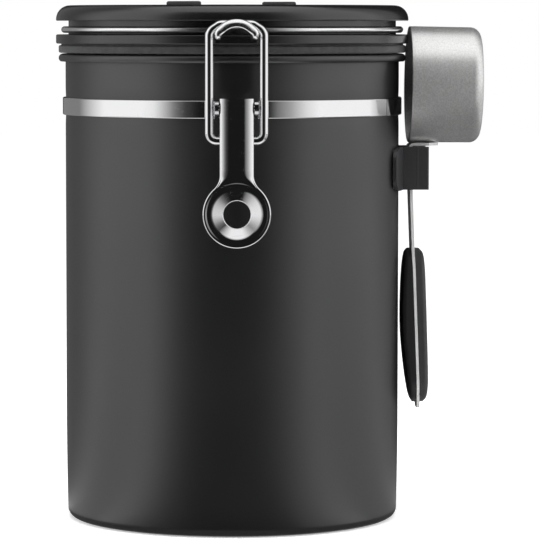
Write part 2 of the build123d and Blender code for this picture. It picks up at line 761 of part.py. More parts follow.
def valve_housing():
    outer = VALVE_BORE_R - FIXED_FIT
    inner = outer - HOUSING_WALL
    bottom = LID_FLOOR_BOTTOM_Z - HOUSING_DROP
    top = DOME_BOTTOM_Z + HOUSING_FLANGE_HEIGHT
    body = hoop(inner, outer, bottom, DOME_BOTTOM_Z)
    body += hoop(inner, HOUSING_FLANGE_R, DOME_BOTTOM_Z, top)
    body += hoop(0, inner, SEAT_BOTTOM_Z, SEAT_TOP_Z)
    body += hoop(0, POST_R, SEAT_TOP_Z, SEAT_TOP_Z + POST_HEIGHT)
    seat = Pos(0, 0, SEAT_TOP_Z)
    for place in PolarLocations(SEAT_HOLE_PITCH_R, SEAT_HOLES):
        body -= seat * place * Cylinder(SEAT_HOLE_R, 4 * SEAT_THICKNESS)
    return body


def valve_seal():
    return hoop(SEAL_R - SEAL_SECTION, SEAL_R, DOME_BOTTOM_Z - SEAL_DEPTH, DOME_BOTTOM_Z - FIXED_FIT)


def valve_disc():
    return hoop(POST_R + RUNNING_FIT, DISC_R, SEAT_TOP_Z, SEAT_TOP_Z + DISC_THICKNESS)


def valve_filter():
    inner = VALVE_BORE_R - FIXED_FIT - HOUSING_WALL - FIXED_FIT
    return hoop(0, inner, SEAT_BOTTOM_Z - FILTER_THICKNESS, SEAT_BOTTOM_Z)


def filter_retainer():
    inner = VALVE_BORE_R - FIXED_FIT - HOUSING_WALL - FIXED_FIT
    top = SEAT_BOTTOM_Z - FILTER_THICKNESS
    grid = hoop(0, inner, top - RETAINER_THICKNESS, top)
    hole = Cylinder(RETAINER_HOLE_R, 4 * RETAINER_THICKNESS)
    rings = ((RETAINER_INNER_R, RETAINER_INNER_HOLES), (RETAINER_OUTER_R, RETAINER_OUTER_HOLES))
    for ring_r, count in rings:
        for place in PolarLocations(ring_r, count):
            grid -= Pos(0, 0, top) * place * hole
    return grid


def valve_cap():
    cap_z = DOME_TOP_Z + DIAL_SIDE_GAP
    top = cap_z + HUB_CAP_HEIGHT
    skirt_z = DOME_BOTTOM_Z + HOUSING_FLANGE_HEIGHT + FIXED_FIT
    cap = turned(
        outline(
            [
                (0, top),
                (HUB_CAP_R, top),
                (HUB_CAP_R, cap_z),
                (HUB_R, cap_z),
                (HUB_R, DIAL_FLOOR_Z),
                (HUB_SKIRT_R, DIAL_FLOOR_Z),
                (HUB_SKIRT_R, skirt_z),
                (HUB_BORE_R, skirt_z),
                (HUB_BORE_R, top - HUB_CAP_WALL),
                (0, top - HUB_CAP_WALL),
            ],
            [(1, HUB_CAP_HEIGHT / 2)],
        )
    )
    stop_z = SEAT_TOP_Z + DISC_THICKNESS + DISC_LIFT + FIXED_FIT
    cap += hoop(POST_R + SOFT_GAP, LIFT_STOP_R, stop_z, top - HUB_CAP_WALL)
    slot = Pos(VENT_MIDDLE_R, 0, top) * Box(VENT_LENGTH, VENT_WIDTH, 3 * HUB_CAP_WALL)
    for index in range(VENTS):
        cap -= Rot(0, 0, 360 * index / VENTS) * slot
    return cap


def dial_grip():
    """One ribbed finger grip, standing on the dial at azimuth zero."""
    block = Pos(GRIP_RING_R, 0, DIAL_TOP_Z + GRIP_RISE / 2) * Box(GRIP_DEPTH, GRIP_LENGTH, GRIP_RISE)
    top = block.edges().group_by(Axis.Z)[-1]
    block = fillet(top, GRIP_EDGE_R)
    pitch = GRIP_LENGTH / (GRIP_GROOVES + 1)
    for index in range(GRIP_GROOVES):
        y = (index + 1) * pitch - GRIP_LENGTH / 2
        start = (GRIP_RING_R - GRIP_DEPTH, y, DIAL_TOP_Z + GRIP_RISE)
        end = (GRIP_RING_R + GRIP_DEPTH, y, DIAL_TOP_Z + GRIP_RISE)
        block -= rod(GRIP_GROOVE_R, start, end)
    return block


def date_dial():
    bottom = DIAL_FLOOR_Z + DIAL_SIDE_GAP
    dial = hoop(HUB_R + RUNNING_FIT, DIAL_R, bottom, DIAL_TOP_Z)
    dial -= hoop(0, HUB_CAP_R + DIAL_SIDE_GAP, DOME_TOP_Z - FIXED_FIT, DOME_TOP_Z + OVERRUN)
    for half_turn in (0, 180):
        dial += Rot(0, 0, half_turn - 180 + GRIP_AZIMUTH) * dial_grip()
    tip_r = DIAL_R - DIAL_SIDE_GAP
    pointer = outline(
        [
            (tip_r, 0),
            (tip_r - POINTER_LENGTH, POINTER_WIDTH / 2),
            (tip_r - POINTER_LENGTH, -POINTER_WIDTH / 2),
        ]
    )
    pointer = extrude(Plane.XY.offset(DIAL_TOP_Z) * pointer, POINTER_RISE)
    return dial + Rot(0, 0, GRIP_AZIMUTH - 90) * pointer


def date_scale():
    bottom = DOME_TOP_Z - SCALE_THICKNESS
    return hoop(SCALE_INNER_R, SCALE_OUTER_R, bottom, DOME_TOP_Z + SCALE_PROUD)


def lid_screws():
    """Four pan head screws with a cross drive, heads down."""
    seat = LID_FLOOR_BOTTOM_Z - FIXED_FIT
    solids = []
    for azimuth in screw_places():
        head = Cylinder(SCREW_HEAD_R, SCREW_HEAD_HEIGHT, align=(Align.CENTER, Align.CENTER, Align.MAX))
        head = fillet(head.edges().sort_by(Axis.Z)[0], SCREW_HEAD_HEIGHT / 3)
        shank = Cylinder(
            SCREW_R, LID_FLOOR + SCREW_REACH, align=(Align.CENTER, Align.CENTER, Align.MIN)
        )
        drive = Pos(0, 0, -SCREW_HEAD_HEIGHT) * Box(
            SCREW_HEAD_R, SCREW_DRIVE_WIDTH, 2 * SCREW_DRIVE_DEPTH
        )
        screw = head + shank - drive - Rot(0, 0, 90) * drive
        solids.append(Rot(0, 0, azimuth) * Pos(SCREW_RING_R, 0, seat) * screw)
    return solids


def bowl_section(inset):
    """Half section of the scoop's bowl in radius and depth, drawn in by inset."""
    rim_r = BOWL_R - inset
    end_r = rim_r - BOWL_TAPER
    depth = BOWL_DEPTH - inset
    mouth = -OVERRUN if inset else 0
    corner = (end_r, depth - BOWL_CROWN)
    face = make_face(
        [
            Line((0, mouth), (rim_r, mouth)),
            Line((rim_r, mouth), corner),
            TangentArc((0, depth), corner, tangent=(1, 0)),
            Line((0, depth), (0, mouth)),
        ]
    )
    vertex = face.vertices().sort_by_distance((*corner, 0))[0]
    return fillet(vertex, BOWL_CORNER_R - inset)


def scoop_bowl():
    bowl = turned(bowl_section(0)) - turned(bowl_section(BOWL_WALL))
    return Pos(SCOOP_RIM_X, 0, SCOOP_AXIS_Z) * Rot(0, 90 + SCOOP_TILT, 0) * bowl


def strip_x(z):
    """Middle of the leaning strip at a height."""
    return STRIP_CLIP_X + (CLIP_MIDDLE_Z - z) * tan(radians(STRIP_LEAN))


def tab_top_z():
    """Upper face of the tab, just under the bowl."""
    return SCOOP_AXIS_Z - BOWL_R - FIXED_FIT


def scoop_strip():
    top_z = tab_top_z()
    half = STRIP_THICKNESS / 2
    tip_x = strip_x(top_z) - half + TAB_REACH
    side = outline(
        [
            (tip_x, top_z),
            (strip_x(top_z) - half, top_z),
            (strip_x(STRIP_TIP_Z) - half, STRIP_TIP_Z),
            (strip_x(STRIP_TIP_Z) + half, STRIP_TIP_Z),
            (strip_x(top_z) + half, top_z - STRIP_THICKNESS),
            (tip_x, top_z - STRIP_THICKNESS),
        ],
        [(1, BEND_R + STRIP_THICKNESS), (4, BEND_R)],
    )
    strip = extrude(Plane.XZ.offset(-STRIP_WIDTH / 2) * side, STRIP_WIDTH)
    length = SCOOP_AXIS_Z - STRIP_TIP_Z
    face_on = outline(
        [
            (-STRIP_WIDTH / 2, STRIP_TIP_Z),
            (STRIP_WIDTH / 2, STRIP_TIP_Z),
            (STRIP_WIDTH / 2, STRIP_TIP_Z + length),
            (-STRIP_WIDTH / 2, STRIP_TIP_Z + length),
        ],
        [(0, STRIP_WIDTH / 3), (1, STRIP_WIDTH / 3)],
    )
    strip &= across(face_on, 0, tip_x + OVERRUN)
    plan = outline(
        [
            (0, -STRIP_WIDTH / 2),
            (tip_x - TAB_TIP, -STRIP_WIDTH / 2),
            (tip_x, 0),
            (tip_x - TAB_TIP, STRIP_WIDTH / 2),
            (0, STRIP_WIDTH / 2),
        ],
        [(2, TAB_TIP / 2)],
    )
    strip &= extrude(plan, SCOOP_AXIS_Z)
    for hole in grip_rivet_rods(GRIP_RIVET_R + FIXED_FIT, OVERRUN, OVERRUN):
        strip -= hole
    return strip


def grip_half(shares, thickness, side):
    """Moulded half of the handle grip on one side of the strip."""
    lean = tan(radians(STRIP_LEAN))
    face_gap = STRIP_THICKNESS / 2 + FIXED_FIT
    places = []
    for along, out in shares:
        z = HANDLE_GRIP_TOP_Z - along * HANDLE_GRIP_LENGTH
        places.append((strip_x(z) + side * (face_gap + out * thickness), z))
    top = (strip_x(HANDLE_GRIP_TOP_Z) + side * face_gap, HANDLE_GRIP_TOP_Z)
    bottom = (top[0] + lean * HANDLE_GRIP_LENGTH, HANDLE_GRIP_BOTTOM_Z)
    profile = make_face(
        [Spline(*places), Line(places[-1], bottom), Line(bottom, top), Line(top, places[0])]
    )
    half = extrude(Plane.XZ.offset(-HANDLE_GRIP_WIDTH / 2) * profile, HANDLE_GRIP_WIDTH)
    middle_z = (HANDLE_GRIP_TOP_Z + HANDLE_GRIP_BOTTOM_Z) / 2
    leaf = Pos(0, middle_z) * Rot(0, 0, 90) * SlotOverall(HANDLE_GRIP_LENGTH, HANDLE_GRIP_WIDTH)
    half &= across(leaf, 0, CLIP_REACH + HANDLE_GRIP_WIDTH)
    crest = [
        edge
        for edge in half.edges()
        if side * (edge.center().X - strip_x(edge.center().Z)) > face_gap + NEAR
    ]
    half = fillet(crest, HANDLE_GRIP_EDGE_R)
    reach = thickness + OVERRUN
    for hole in grip_rivet_rods(GRIP_RIVET_R + FIXED_FIT, reach, reach):
        half -= hole
    return half


def grip_rivet_rods(radius, inner, outer):
    """Round bars square to the strip at the grip's rivets, with their reach to each side."""
    lean = radians(STRIP_LEAN)
    rods = []
    for share in GRIP_RIVET_SHARES:
        z = HANDLE_GRIP_TOP_Z - share * HANDLE_GRIP_LENGTH
        x = strip_x(z)
        start = (x - inner * cos(lean), 0, z - inner * sin(lean))
        end = (x + outer * cos(lean), 0, z + outer * sin(lean))
        rods.append(rod(radius, start, end))
    return rods


def grip_rivets():
    """Two rivets that end about flush with both grip halves."""
    inner = HANDLE_GRIP_INNER * GRIP_RIVET_REACH_SHARE
    outer = HANDLE_GRIP_OUTER * GRIP_RIVET_REACH_SHARE
    return grip_rivet_rods(GRIP_RIVET_R, inner, outer)


def clip_seat():
    """Rounded saddle foot that hugs the wall."""
    foot = sector(
        FOOT_INNER_R,
        FOOT_OUTER_R,
        CLIP_MIDDLE_Z - CLIP_HEIGHT / 2,
        CLIP_MIDDLE_Z + CLIP_HEIGHT / 2,
        0,
        CLIP_FOOT_ANGLE,
    )
    return foot & foot_outline(FOOT_OUTER_R)


def foot_outline(radius):
    """Cutter for the foot's rounded ends, seen along X."""
    half_width = radius * sin(radians(CLIP_FOOT_ANGLE))
    face = Pos(0, CLIP_MIDDLE_Z) * RectangleRounded(2 * half_width, CLIP_HEIGHT, CLIP_HEIGHT / 3)
    return across(face, 0, CLIP_REACH + OVERRUN)


def scoop_clip():
    bottom = CLIP_MIDDLE_Z - CLIP_HEIGHT / 2
    arm_y = STRIP_WIDTH / 2 + CLIP_ARM_GAP
    outer_y = arm_y + CLIP_ARM_THICKNESS
    plan = outline(
        [
            (BODY_R, -outer_y),
            (CLIP_REACH, -outer_y),
            (CLIP_REACH, -arm_y),
            (CLIP_FLOOR_X, -arm_y),
            (CLIP_FLOOR_X, arm_y),
            (CLIP_REACH, arm_y),
            (CLIP_REACH, outer_y),
            (BODY_R, outer_y),
        ],
        [(1, CLIP_EDGE_R), (2, CLIP_EDGE_R), (5, CLIP_EDGE_R), (6, CLIP_EDGE_R)],
    )
    socket = extrude(Plane.XY.offset(bottom) * plan, CLIP_HEIGHT) - Cylinder(
        FOOT_INNER_R, 2 * RIM_TOP_Z
    )
    bead_y = STRIP_WIDTH / 2 + CLIP_BEAD_GAP + CLIP_BEAD_R
    for side in (-1, 1):
        socket += rod(
            CLIP_BEAD_R,
            (CLIP_BEAD_X, side * bead_y, bottom),
            (CLIP_BEAD_X, side * bead_y, bottom + CLIP_HEIGHT),
        )
    return clip_seat() + socket


def clip_pad():
    pad = sector(
        BODY_R + FIXED_FIT / 2,
        FOOT_INNER_R - FIXED_FIT / 2,
        CLIP_MIDDLE_Z - CLIP_HEIGHT / 2 + CLIP_EDGE_R,
        CLIP_MIDDLE_Z + CLIP_HEIGHT / 2 - CLIP_EDGE_R,
        0,
        CLIP_PAD_ANGLE,
    )
    return pad & foot_outline(FOOT_INNER_R)


def solids_of(piece):
    """All solids of a piece, whether it is one shape or a list."""
    shapes = piece if isinstance(piece, list) else [piece]
    return [solid for shape in shapes for solid in shape.solids()]


def export(name, piece):
    """Write one named piece as a STEP file."""
    solids = solids_of(piece)
    shape = solids[0] if len(solids) == 1 else Compound(children=solids)
    export_step(shape, f"parts/{name}.step")
    print(name, len(solids), round(sum(solid.volume for solid in solids), 1))


def main():
    os.makedirs("parts", exist_ok=True)
    band_middle = BAND_BOTTOM_Z + BAND_HEIGHT / 2
    pin_half = EAR_OUTER_X + PIN_END_GAP
    hinge_half = HINGE_EAR_X + EAR_THICKNESS + HINGE_PIN_PROUD
    pieces = {
        "canister_shell": canister_shell(),
        "body_band": body_band(),
        "latch_bracket": latch_bracket(),
        "latch_rivets": rivets(band_middle),
        "lever_pivot_pin": headed_pin(PIVOT_PIN_R, pin_half, -PIVOT_U, PIVOT_Z),
        "hinge_bracket": hinge_bracket(),
        "hinge_rivets": [Rot(0, 0, 180) * rivet for rivet in rivets(band_middle)],
        "hinge_pin": headed_pin(HINGE_PIN_R, hinge_half, HINGE_Y, HINGE_Z),
        "scoop_clip": scoop_clip(),
        "clip_pad": clip_pad(),
        "lid_cap": lid_cap(),
        "lid_base": lid_base(),
        "lid_gasket": lid_gasket(),
        "lid_screws": lid_screws(),
        "clamp_ring": clamp_ring(),
        "hinge_leaf": hinge_leaf(),
        "valve_housing": valve_housing(),
        "valve_seal": valve_seal(),
        "valve_filter": valve_filter(),
        "filter_retainer": filter_retainer(),
        "valve_cap": valve_cap(),
        "date_scale": date_scale(),
        "valve_disc": valve_disc(),
        "date_dial": date_dial(),
        "latch_lever": latch_lever(),
        "latch_link": latch_link(),
        "scoop_bowl": scoop_bowl(),
        "scoop_strip": scoop_strip(),
        "grip_outer": grip_half(OUTER_GRIP_SHARES, HANDLE_GRIP_OUTER, 1),
        "grip_inner": grip_half(INNER_GRIP_SHARES, HANDLE_GRIP_INNER, -1),
        "grip_rivets": grip_rivets(),
    }
    for name, piece in pieces.items():
        export(name, piece)


main()
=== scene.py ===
"""Looks of a coffee canister with a gas valve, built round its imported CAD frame."""

import logging
import math
from dataclasses import dataclass
from enum import Enum
from functools import cache
from typing import Mapping, Protocol, Sequence

import bmesh
import bpy
from mathutils import Matrix, Vector


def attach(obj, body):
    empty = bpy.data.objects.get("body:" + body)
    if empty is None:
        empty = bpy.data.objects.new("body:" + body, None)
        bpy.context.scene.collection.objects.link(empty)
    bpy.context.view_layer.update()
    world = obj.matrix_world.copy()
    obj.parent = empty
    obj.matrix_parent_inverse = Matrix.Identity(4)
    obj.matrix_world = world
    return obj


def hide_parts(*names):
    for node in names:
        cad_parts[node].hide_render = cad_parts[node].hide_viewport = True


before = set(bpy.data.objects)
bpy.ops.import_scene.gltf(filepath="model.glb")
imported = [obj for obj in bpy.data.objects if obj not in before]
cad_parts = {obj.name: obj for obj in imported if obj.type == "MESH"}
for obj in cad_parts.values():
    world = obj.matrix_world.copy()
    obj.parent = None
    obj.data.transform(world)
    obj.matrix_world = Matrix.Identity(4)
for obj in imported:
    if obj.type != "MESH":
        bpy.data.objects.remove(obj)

LOG = logging.getLogger("canister")
MM = 0.001
WELD_REACH = 1e-7
SHARP_ANGLE = math.radians(33)
ANGLE_SLACK = 1e-4
FULL_TURN = 360.0
TURN_STEPS = 288

Pair = tuple[float, float]
Triple = tuple[float, float, float]
Colour = tuple[float, float, float]
Sockets = Mapping[str, bpy.types.NodeSocket]


class Body(Enum):
    """The bodies that new pieces ride on."""

    CANISTER = "canister"
    LID = "lid"
    DIAL = "dial"
    LEVER = "lever"
    LINK = "link"
    SCOOP = "scoop"


class Effect(Enum):
    """Surface effects that several finishes share."""

    SPECKLE = "moulding_speckle"
    BRUSH = "brush_lines"
    HAZE = "handling_haze"
    RUB = "edge_rub"
    SCRATCH = "fine_scratches"
    DUST = "settled_dust"


class Wiring:
    """Adds and joins the nodes of one node tree."""

    def __init__(self, tree: bpy.types.NodeTree) -> None:
        """Take the tree to work on.

        Args:
            tree: A material's or a group's node tree.
        """
        self.tree = tree

    def node(self, kind: str, settings: dict | None = None, values: dict | None = None) -> bpy.types.Node:
        """Add a node.

        Args:
            kind: The node's type name.
            settings: Properties of the node.
            values: Default values of its input sockets, by name or number.

        Returns:
            The new node.
        """
        made = self.tree.nodes.new(kind)
        for name, value in (settings or {}).items():
            setattr(made, name, value)
        for name, value in (values or {}).items():
            made.inputs[name].default_value = value
        return made

    def join(self, start: bpy.types.NodeSocket, end: bpy.types.NodeSocket) -> None:
        """Link an output socket to an input socket."""
        self.tree.links.new(start, end)

    def calc(self, operation: str, first: object, second: object) -> bpy.types.NodeSocket:
        """Combine two values.

        Args:
            operation: Name of the Math node's operation.
            first: A socket or a number.
            second: A socket or a number.

        Returns:
            The socket with the result.
        """
        made = self.node("ShaderNodeMath", {"operation": operation})
        for index, value in enumerate((first, second)):
            if isinstance(value, bpy.types.NodeSocket):
                self.join(value, made.inputs[index])
            else:
                made.inputs[index].default_value = value
        return made.outputs[0]

    def noise(
        self, place: bpy.types.NodeSocket, scale: bpy.types.NodeSocket, values: dict
    ) -> bpy.types.NodeSocket:
        """Add a noise texture.

        Args:
            place: Socket with its coordinates.
            scale: Socket with its scale.
            values: Default values of its other inputs.

        Returns:
            The socket with the noise.
        """
        made = self.node("ShaderNodeTexNoise", values=values)
        self.join(place, made.inputs["Vector"])
        self.join(scale, made.inputs["Scale"])
        return made.outputs["Fac"]

    def stretched(self, value: bpy.types.NodeSocket, source: Pair, target: Pair) -> bpy.types.NodeSocket:
        """Map a value from one range to another, held at the ends.

        Args:
            value: The socket to map.
            source: Low and high end of the input.
            target: What they turn into.

        Returns:
            The socket with the mapped value.
        """
        names = ("From Min", "From Max", "To Min", "To Max")
        made = self.node("ShaderNodeMapRange", values=dict(zip(names, (*source, *target))))
        self.join(value, made.inputs["Value"])
        return made.outputs["Result"]


class EffectLibrary:
    """Builds each shared effect once, as a node group."""

    MIDDLE_TONE = 0.5
    COARSE_SCALE = 0.13
    COARSE_SHARE = 0.3
    PATCH_SCALE = 0.2
    HAZE_REACH = (0.3, 0.7)
    EDGE_REACH = (0.53, 0.62)
    SCRATCH_TURNS = (0.5, 2.1)
    SCRATCH_STRETCH = (1.0, 14.0, 14.0)
    SCRATCH_REACH = (0.66, 0.72)
    DUST_SLOPE = (0.6, 1.0)
    DUST_REACH = (0.5, 0.75)
    WHOLE = (0.0, 1.0)

    def __init__(self) -> None:
        """Start with no groups and note each effect's maker, number inputs and outputs."""
        self.made: dict[Effect, bpy.types.NodeTree] = {}
        self.recipes = {
            Effect.SPECKLE: (self.speckle, {"Size": 2500.0, "Contrast": 1.0}, ("Height", "Tone")),
            Effect.BRUSH: (self.brush, {"Size": 1.0, "Mottle": 0.3}, ("Height", "Tone")),
            Effect.HAZE: (self.haze, {"Size": 40.0, "Low": 0.3, "High": 0.4}, ("Roughness",)),
            Effect.RUB: (self.rub, {"Size": 300.0, "Amount": 0.5}, ("Mask",)),
            Effect.SCRATCH: (self.scratch, {"Size": 60.0, "Amount": 0.5}, ("Mask",)),
            Effect.DUST: (self.dust, {"Size": 900.0, "Amount": 0.1}, ("Mask",)),
        }

    def get(self, effect: Effect) -> bpy.types.NodeTree:
        """Give the group of an effect, built on first use.

        Args:
            effect: Which effect.

        Returns:
            The group's node tree.
        """
        if effect in self.made:
            return self.made[effect]
        build, inputs, outputs = self.recipes[effect]
        tree = bpy.data.node_groups.new(effect.value, "ShaderNodeTree")
        tree.interface.new_socket("Coordinates", in_out="INPUT", socket_type="NodeSocketVector")
        for name, default in inputs.items():
            socket = tree.interface.new_socket(name, in_out="INPUT", socket_type="NodeSocketFloat")
            socket.default_value = default
        for name in outputs:
            tree.interface.new_socket(name, in_out="OUTPUT", socket_type="NodeSocketFloat")
        wiring = Wiring(tree)
        given, out = wiring.node("NodeGroupInput"), wiring.node("NodeGroupOutput")
        build(wiring, given.outputs, out.inputs)
        self.made[effect] = tree
        return tree

    def speckle(self, wiring: Wiring, given: Sockets, out: Sockets) -> None:
        """Build fine grain of a moulded or powder coated surface.

        Args:
            wiring: The group's wiring.
            given: What the group is given.
            out: What it puts out.
        """
        fine = wiring.noise(given["Coordinates"], given["Size"], {"Detail": 3.0, "Roughness": 0.6})
        broad = wiring.calc("MULTIPLY", given["Size"], self.COARSE_SCALE)
        coarse = wiring.noise(given["Coordinates"], broad, {"Detail": 2.0})
        fine_part = wiring.calc("MULTIPLY", fine, 1.0 - self.COARSE_SHARE)
        mixed = wiring.calc("ADD", fine_part, wiring.calc("MULTIPLY", coarse, self.COARSE_SHARE))
        centred = wiring.calc("SUBTRACT", mixed, self.MIDDLE_TONE)
        scaled = wiring.calc("MULTIPLY", centred, given["Contrast"])
        wiring.join(mixed, out["Height"])
        wiring.join(wiring.calc("ADD", scaled, self.MIDDLE_TONE), out["Tone"])

    def brush(self, wiring: Wiring, given: Sockets, out: Sockets) -> None:
        """Build brush lines, which run along the directions that the coordinates squeeze.

        Args:
            wiring: The group's wiring.
            given: What the group is given.
            out: What it puts out.
        """
        lines = wiring.noise(given["Coordinates"], given["Size"], {"Detail": 4.0, "Roughness": 0.65})
        broad = wiring.calc("MULTIPLY", given["Size"], self.PATCH_SCALE)
        patches = wiring.noise(given["Coordinates"], broad, {"Detail": 2.0})
        patch_share = wiring.calc("MULTIPLY", patches, given["Mottle"])
        line_share = wiring.calc("MULTIPLY", lines, wiring.calc("SUBTRACT", 1.0, given["Mottle"]))
        wiring.join(lines, out["Height"])
        wiring.join(wiring.calc("ADD", patch_share, line_share), out["Tone"])

    def haze(self, wiring: Wiring, given: Sockets, out: Sockets) -> None:
        """Build the broad, soft change of gloss that handling leaves.

        Args:
            wiring: The group's wiring.
            given: What the group is given.
            out: What it puts out.
        """
        clouds = wiring.noise(given["Coordinates"], given["Size"], {"Detail": 3.0, "Distortion": 0.4})
        spread = wiring.stretched(clouds, self.HAZE_REACH, self.WHOLE)
        reach = wiring.calc("SUBTRACT", given["High"], given["Low"])
        grown = wiring.calc("MULTIPLY", spread, reach)
        wiring.join(wiring.calc("ADD", grown, given["Low"]), out["Roughness"])

    def rub(self, wiring: Wiring, given: Sockets, out: Sockets) -> None:
        """Build a mask of outward edges, where a finish is rubbed.

        Args:
            wiring: The group's wiring.
            given: What the group is given.
            out: What it puts out.
        """
        shape = wiring.node("ShaderNodeNewGeometry")
        edges = wiring.stretched(shape.outputs["Pointiness"], self.EDGE_REACH, self.WHOLE)
        patches = wiring.noise(given["Coordinates"], given["Size"], {"Detail": 3.0})
        broken = wiring.calc("MULTIPLY", edges, patches)
        wiring.join(wiring.calc("MULTIPLY", broken, given["Amount"]), out["Mask"])

    def scratch(self, wiring: Wiring, given: Sockets, out: Sockets) -> None:
        """Build hair lines in two directions on polished metal.

        Args:
            wiring: The group's wiring.
            given: What the group is given.
            out: What it puts out.
        """
        found = []
        for turn in self.SCRATCH_TURNS:
            values = {"Rotation": (turn, turn / 2, turn), "Scale": self.SCRATCH_STRETCH}
            mapping = wiring.node("ShaderNodeMapping", values=values)
            wiring.join(given["Coordinates"], mapping.inputs["Vector"])
            hair = wiring.noise(mapping.outputs["Vector"], given["Size"], {"Detail": 1.0, "Distortion": 0.2})
            found.append(wiring.stretched(hair, self.SCRATCH_REACH, self.WHOLE))
        both = wiring.calc("MAXIMUM", *found)
        wiring.join(wiring.calc("MULTIPLY", both, given["Amount"]), out["Mask"])

    def dust(self, wiring: Wiring, given: Sockets, out: Sockets) -> None:
        """Build a faint mask of dust on faces that look up.

        Args:
            wiring: The group's wiring.
            given: What the group is given.
            out: What it puts out.
        """
        shape = wiring.node("ShaderNodeNewGeometry")
        parts = wiring.node("ShaderNodeSeparateXYZ")
        wiring.join(shape.outputs["Normal"], parts.inputs["Vector"])
        upward = wiring.stretched(parts.outputs["Z"], self.DUST_SLOPE, self.WHOLE)
        grains = wiring.noise(given["Coordinates"], given["Size"], {"Detail": 4.0, "Roughness": 0.7})
        sparse = wiring.stretched(grains, self.DUST_REACH, self.WHOLE)
        lying = wiring.calc("MULTIPLY", upward, sparse)
        wiring.join(wiring.calc("MULTIPLY", lying, given["Amount"]), out["Mask"])


EFFECTS = EffectLibrary()


class Finish(Protocol):
    """What every finish offers."""

    name: str

    def material(self) -> bpy.types.Material:
        """Give the finish's material."""


class Dresser:
    """A material in the making, with its shader and the helpers that finishes share."""

    def __init__(self, name: str, constants: dict) -> None:
        """Start a material.

        Args:
            name: The material's name.
            constants: Values of the shader's own sockets.
        """
        self.material = bpy.data.materials.new(name)
        self.material.use_nodes = True
        self.wiring = Wiring(self.material.node_tree)
        self.shader = self.material.node_tree.nodes["Principled BSDF"]
        for socket, value in constants.items():
            self.shader.inputs[socket].default_value = value
        self.place = self.wiring.node("ShaderNodeTexCoord").outputs["Object"]

    def scaled_place(self, scale: Triple) -> bpy.types.NodeSocket:
        """Coordinates of the surface, scaled along each axis.

        Args:
            scale: Factors for x, y and z.

        Returns:
            The socket with the scaled coordinates.
        """
        mapping = self.wiring.node("ShaderNodeMapping", values={"Scale": scale})
        self.wiring.join(self.place, mapping.inputs["Vector"])
        return mapping.outputs["Vector"]

    def effect(
        self, effect: Effect, values: dict, place: bpy.types.NodeSocket | None = None
    ) -> Sockets:
        """Put a shared effect into the material.

        Args:
            effect: Which effect.
            values: Its input values.
            place: Its coordinates, or the surface's own.

        Returns:
            What the effect puts out.
        """
        made = self.wiring.node("ShaderNodeGroup", {"node_tree": EFFECTS.get(effect)}, values)
        self.wiring.join(place or self.place, made.inputs["Coordinates"])
        return made.outputs

    def haze(self, size: float, roughness: Pair) -> bpy.types.NodeSocket:
        """Let the roughness change softly, as handling leaves it.

        Args:
            size: The haze's scale.
            roughness: Lowest and highest roughness.

        Returns:
            The socket with the roughness.
        """
        low, high = roughness
        return self.effect(Effect.HAZE, {"Size": size, "Low": low, "High": high})["Roughness"]

    def mix(
        self, mask: bpy.types.NodeSocket, under: Colour | bpy.types.NodeSocket, over: Colour
    ) -> bpy.types.NodeSocket:
        """Mix two colours by a mask.

        Args:
            mask: Share of the second colour.
            under: Colour where the mask is 0, or the socket that holds it.
            over: Colour where it is 1.

        Returns:
            The socket with the mixed colour.
        """
        mixed = self.wiring.node("ShaderNodeMix", {"data_type": "RGBA"})
        if isinstance(under, bpy.types.NodeSocket):
            self.wiring.join(under, mixed.inputs["A"])
        else:
            mixed.inputs["A"].default_value = (*under, 1.0)
        mixed.inputs["B"].default_value = (*over, 1.0)
        self.wiring.join(mask, mixed.inputs["Factor"])
        return mixed.outputs["Result"]

    def shades(self, mask: bpy.types.NodeSocket, colour: Colour, factors: Pair) -> bpy.types.NodeSocket:
        """Vary one colour between a darker and a lighter shade by a mask.

        Args:
            mask: Share of the second shade.
            colour: The colour.
            factors: Brightness of each shade.

        Returns:
            The socket with the colour.
        """
        low, high = factors
        return self.mix(mask, shade(colour, low), shade(colour, high))

    def feed(self, socket: str, value: bpy.types.NodeSocket) -> None:
        """Link a value to one of the shader's sockets."""
        self.wiring.join(value, self.shader.inputs[socket])

    def bump(self, height: bpy.types.NodeSocket, depth: float, strength: float = 1.0) -> None:
        """Give the surface a fine relief.

        Args:
            height: Socket with the relief's height.
            depth: Its depth in metres.
            strength: Its share, from 0 to 1.
        """
        relief = self.wiring.node("ShaderNodeBump", values={"Strength": strength, "Distance": depth})
        self.wiring.join(height, relief.inputs["Height"])
        self.wiring.join(relief.outputs["Normal"], self.shader.inputs["Normal"])


def shade(colour: Colour, factor: float) -> Colour:
    """Give a colour that is lighter or darker by a factor."""
    return tuple(min(1.0, part * factor) for part in colour)


@dataclass(frozen=True)
class PowderCoat:
    """Matte paint that is baked on steel."""

    name: str
    colour: Colour
    roughness: Pair = (0.4, 0.46)
    grain: float = 3200.0
    grain_depth: float = 0.000012
    contrast: float = 1.2
    shades: Pair = (0.86, 1.14)
    rub: float = 0.25
    rub_size: float = 260.0
    rub_colour: Colour = (0.05, 0.05, 0.05)
    haze_size: float = 28.0
    ior: float = 1.88

    def material(self) -> bpy.types.Material:
        """Build the material.

        Returns:
            The material.
        """
        dresser = Dresser(self.name, {"IOR": self.ior})
        grain = dresser.effect(Effect.SPECKLE, {"Size": self.grain, "Contrast": self.contrast})
        colour = dresser.shades(grain["Tone"], self.colour, self.shades)
        rubbed = dresser.effect(Effect.RUB, {"Size": self.rub_size, "Amount": self.rub})
        dresser.feed("Base Color", dresser.mix(rubbed["Mask"], colour, self.rub_colour))
        dresser.feed("Roughness", dresser.haze(self.haze_size, self.roughness))
        dresser.bump(grain["Height"], self.grain_depth)
        return dresser.material


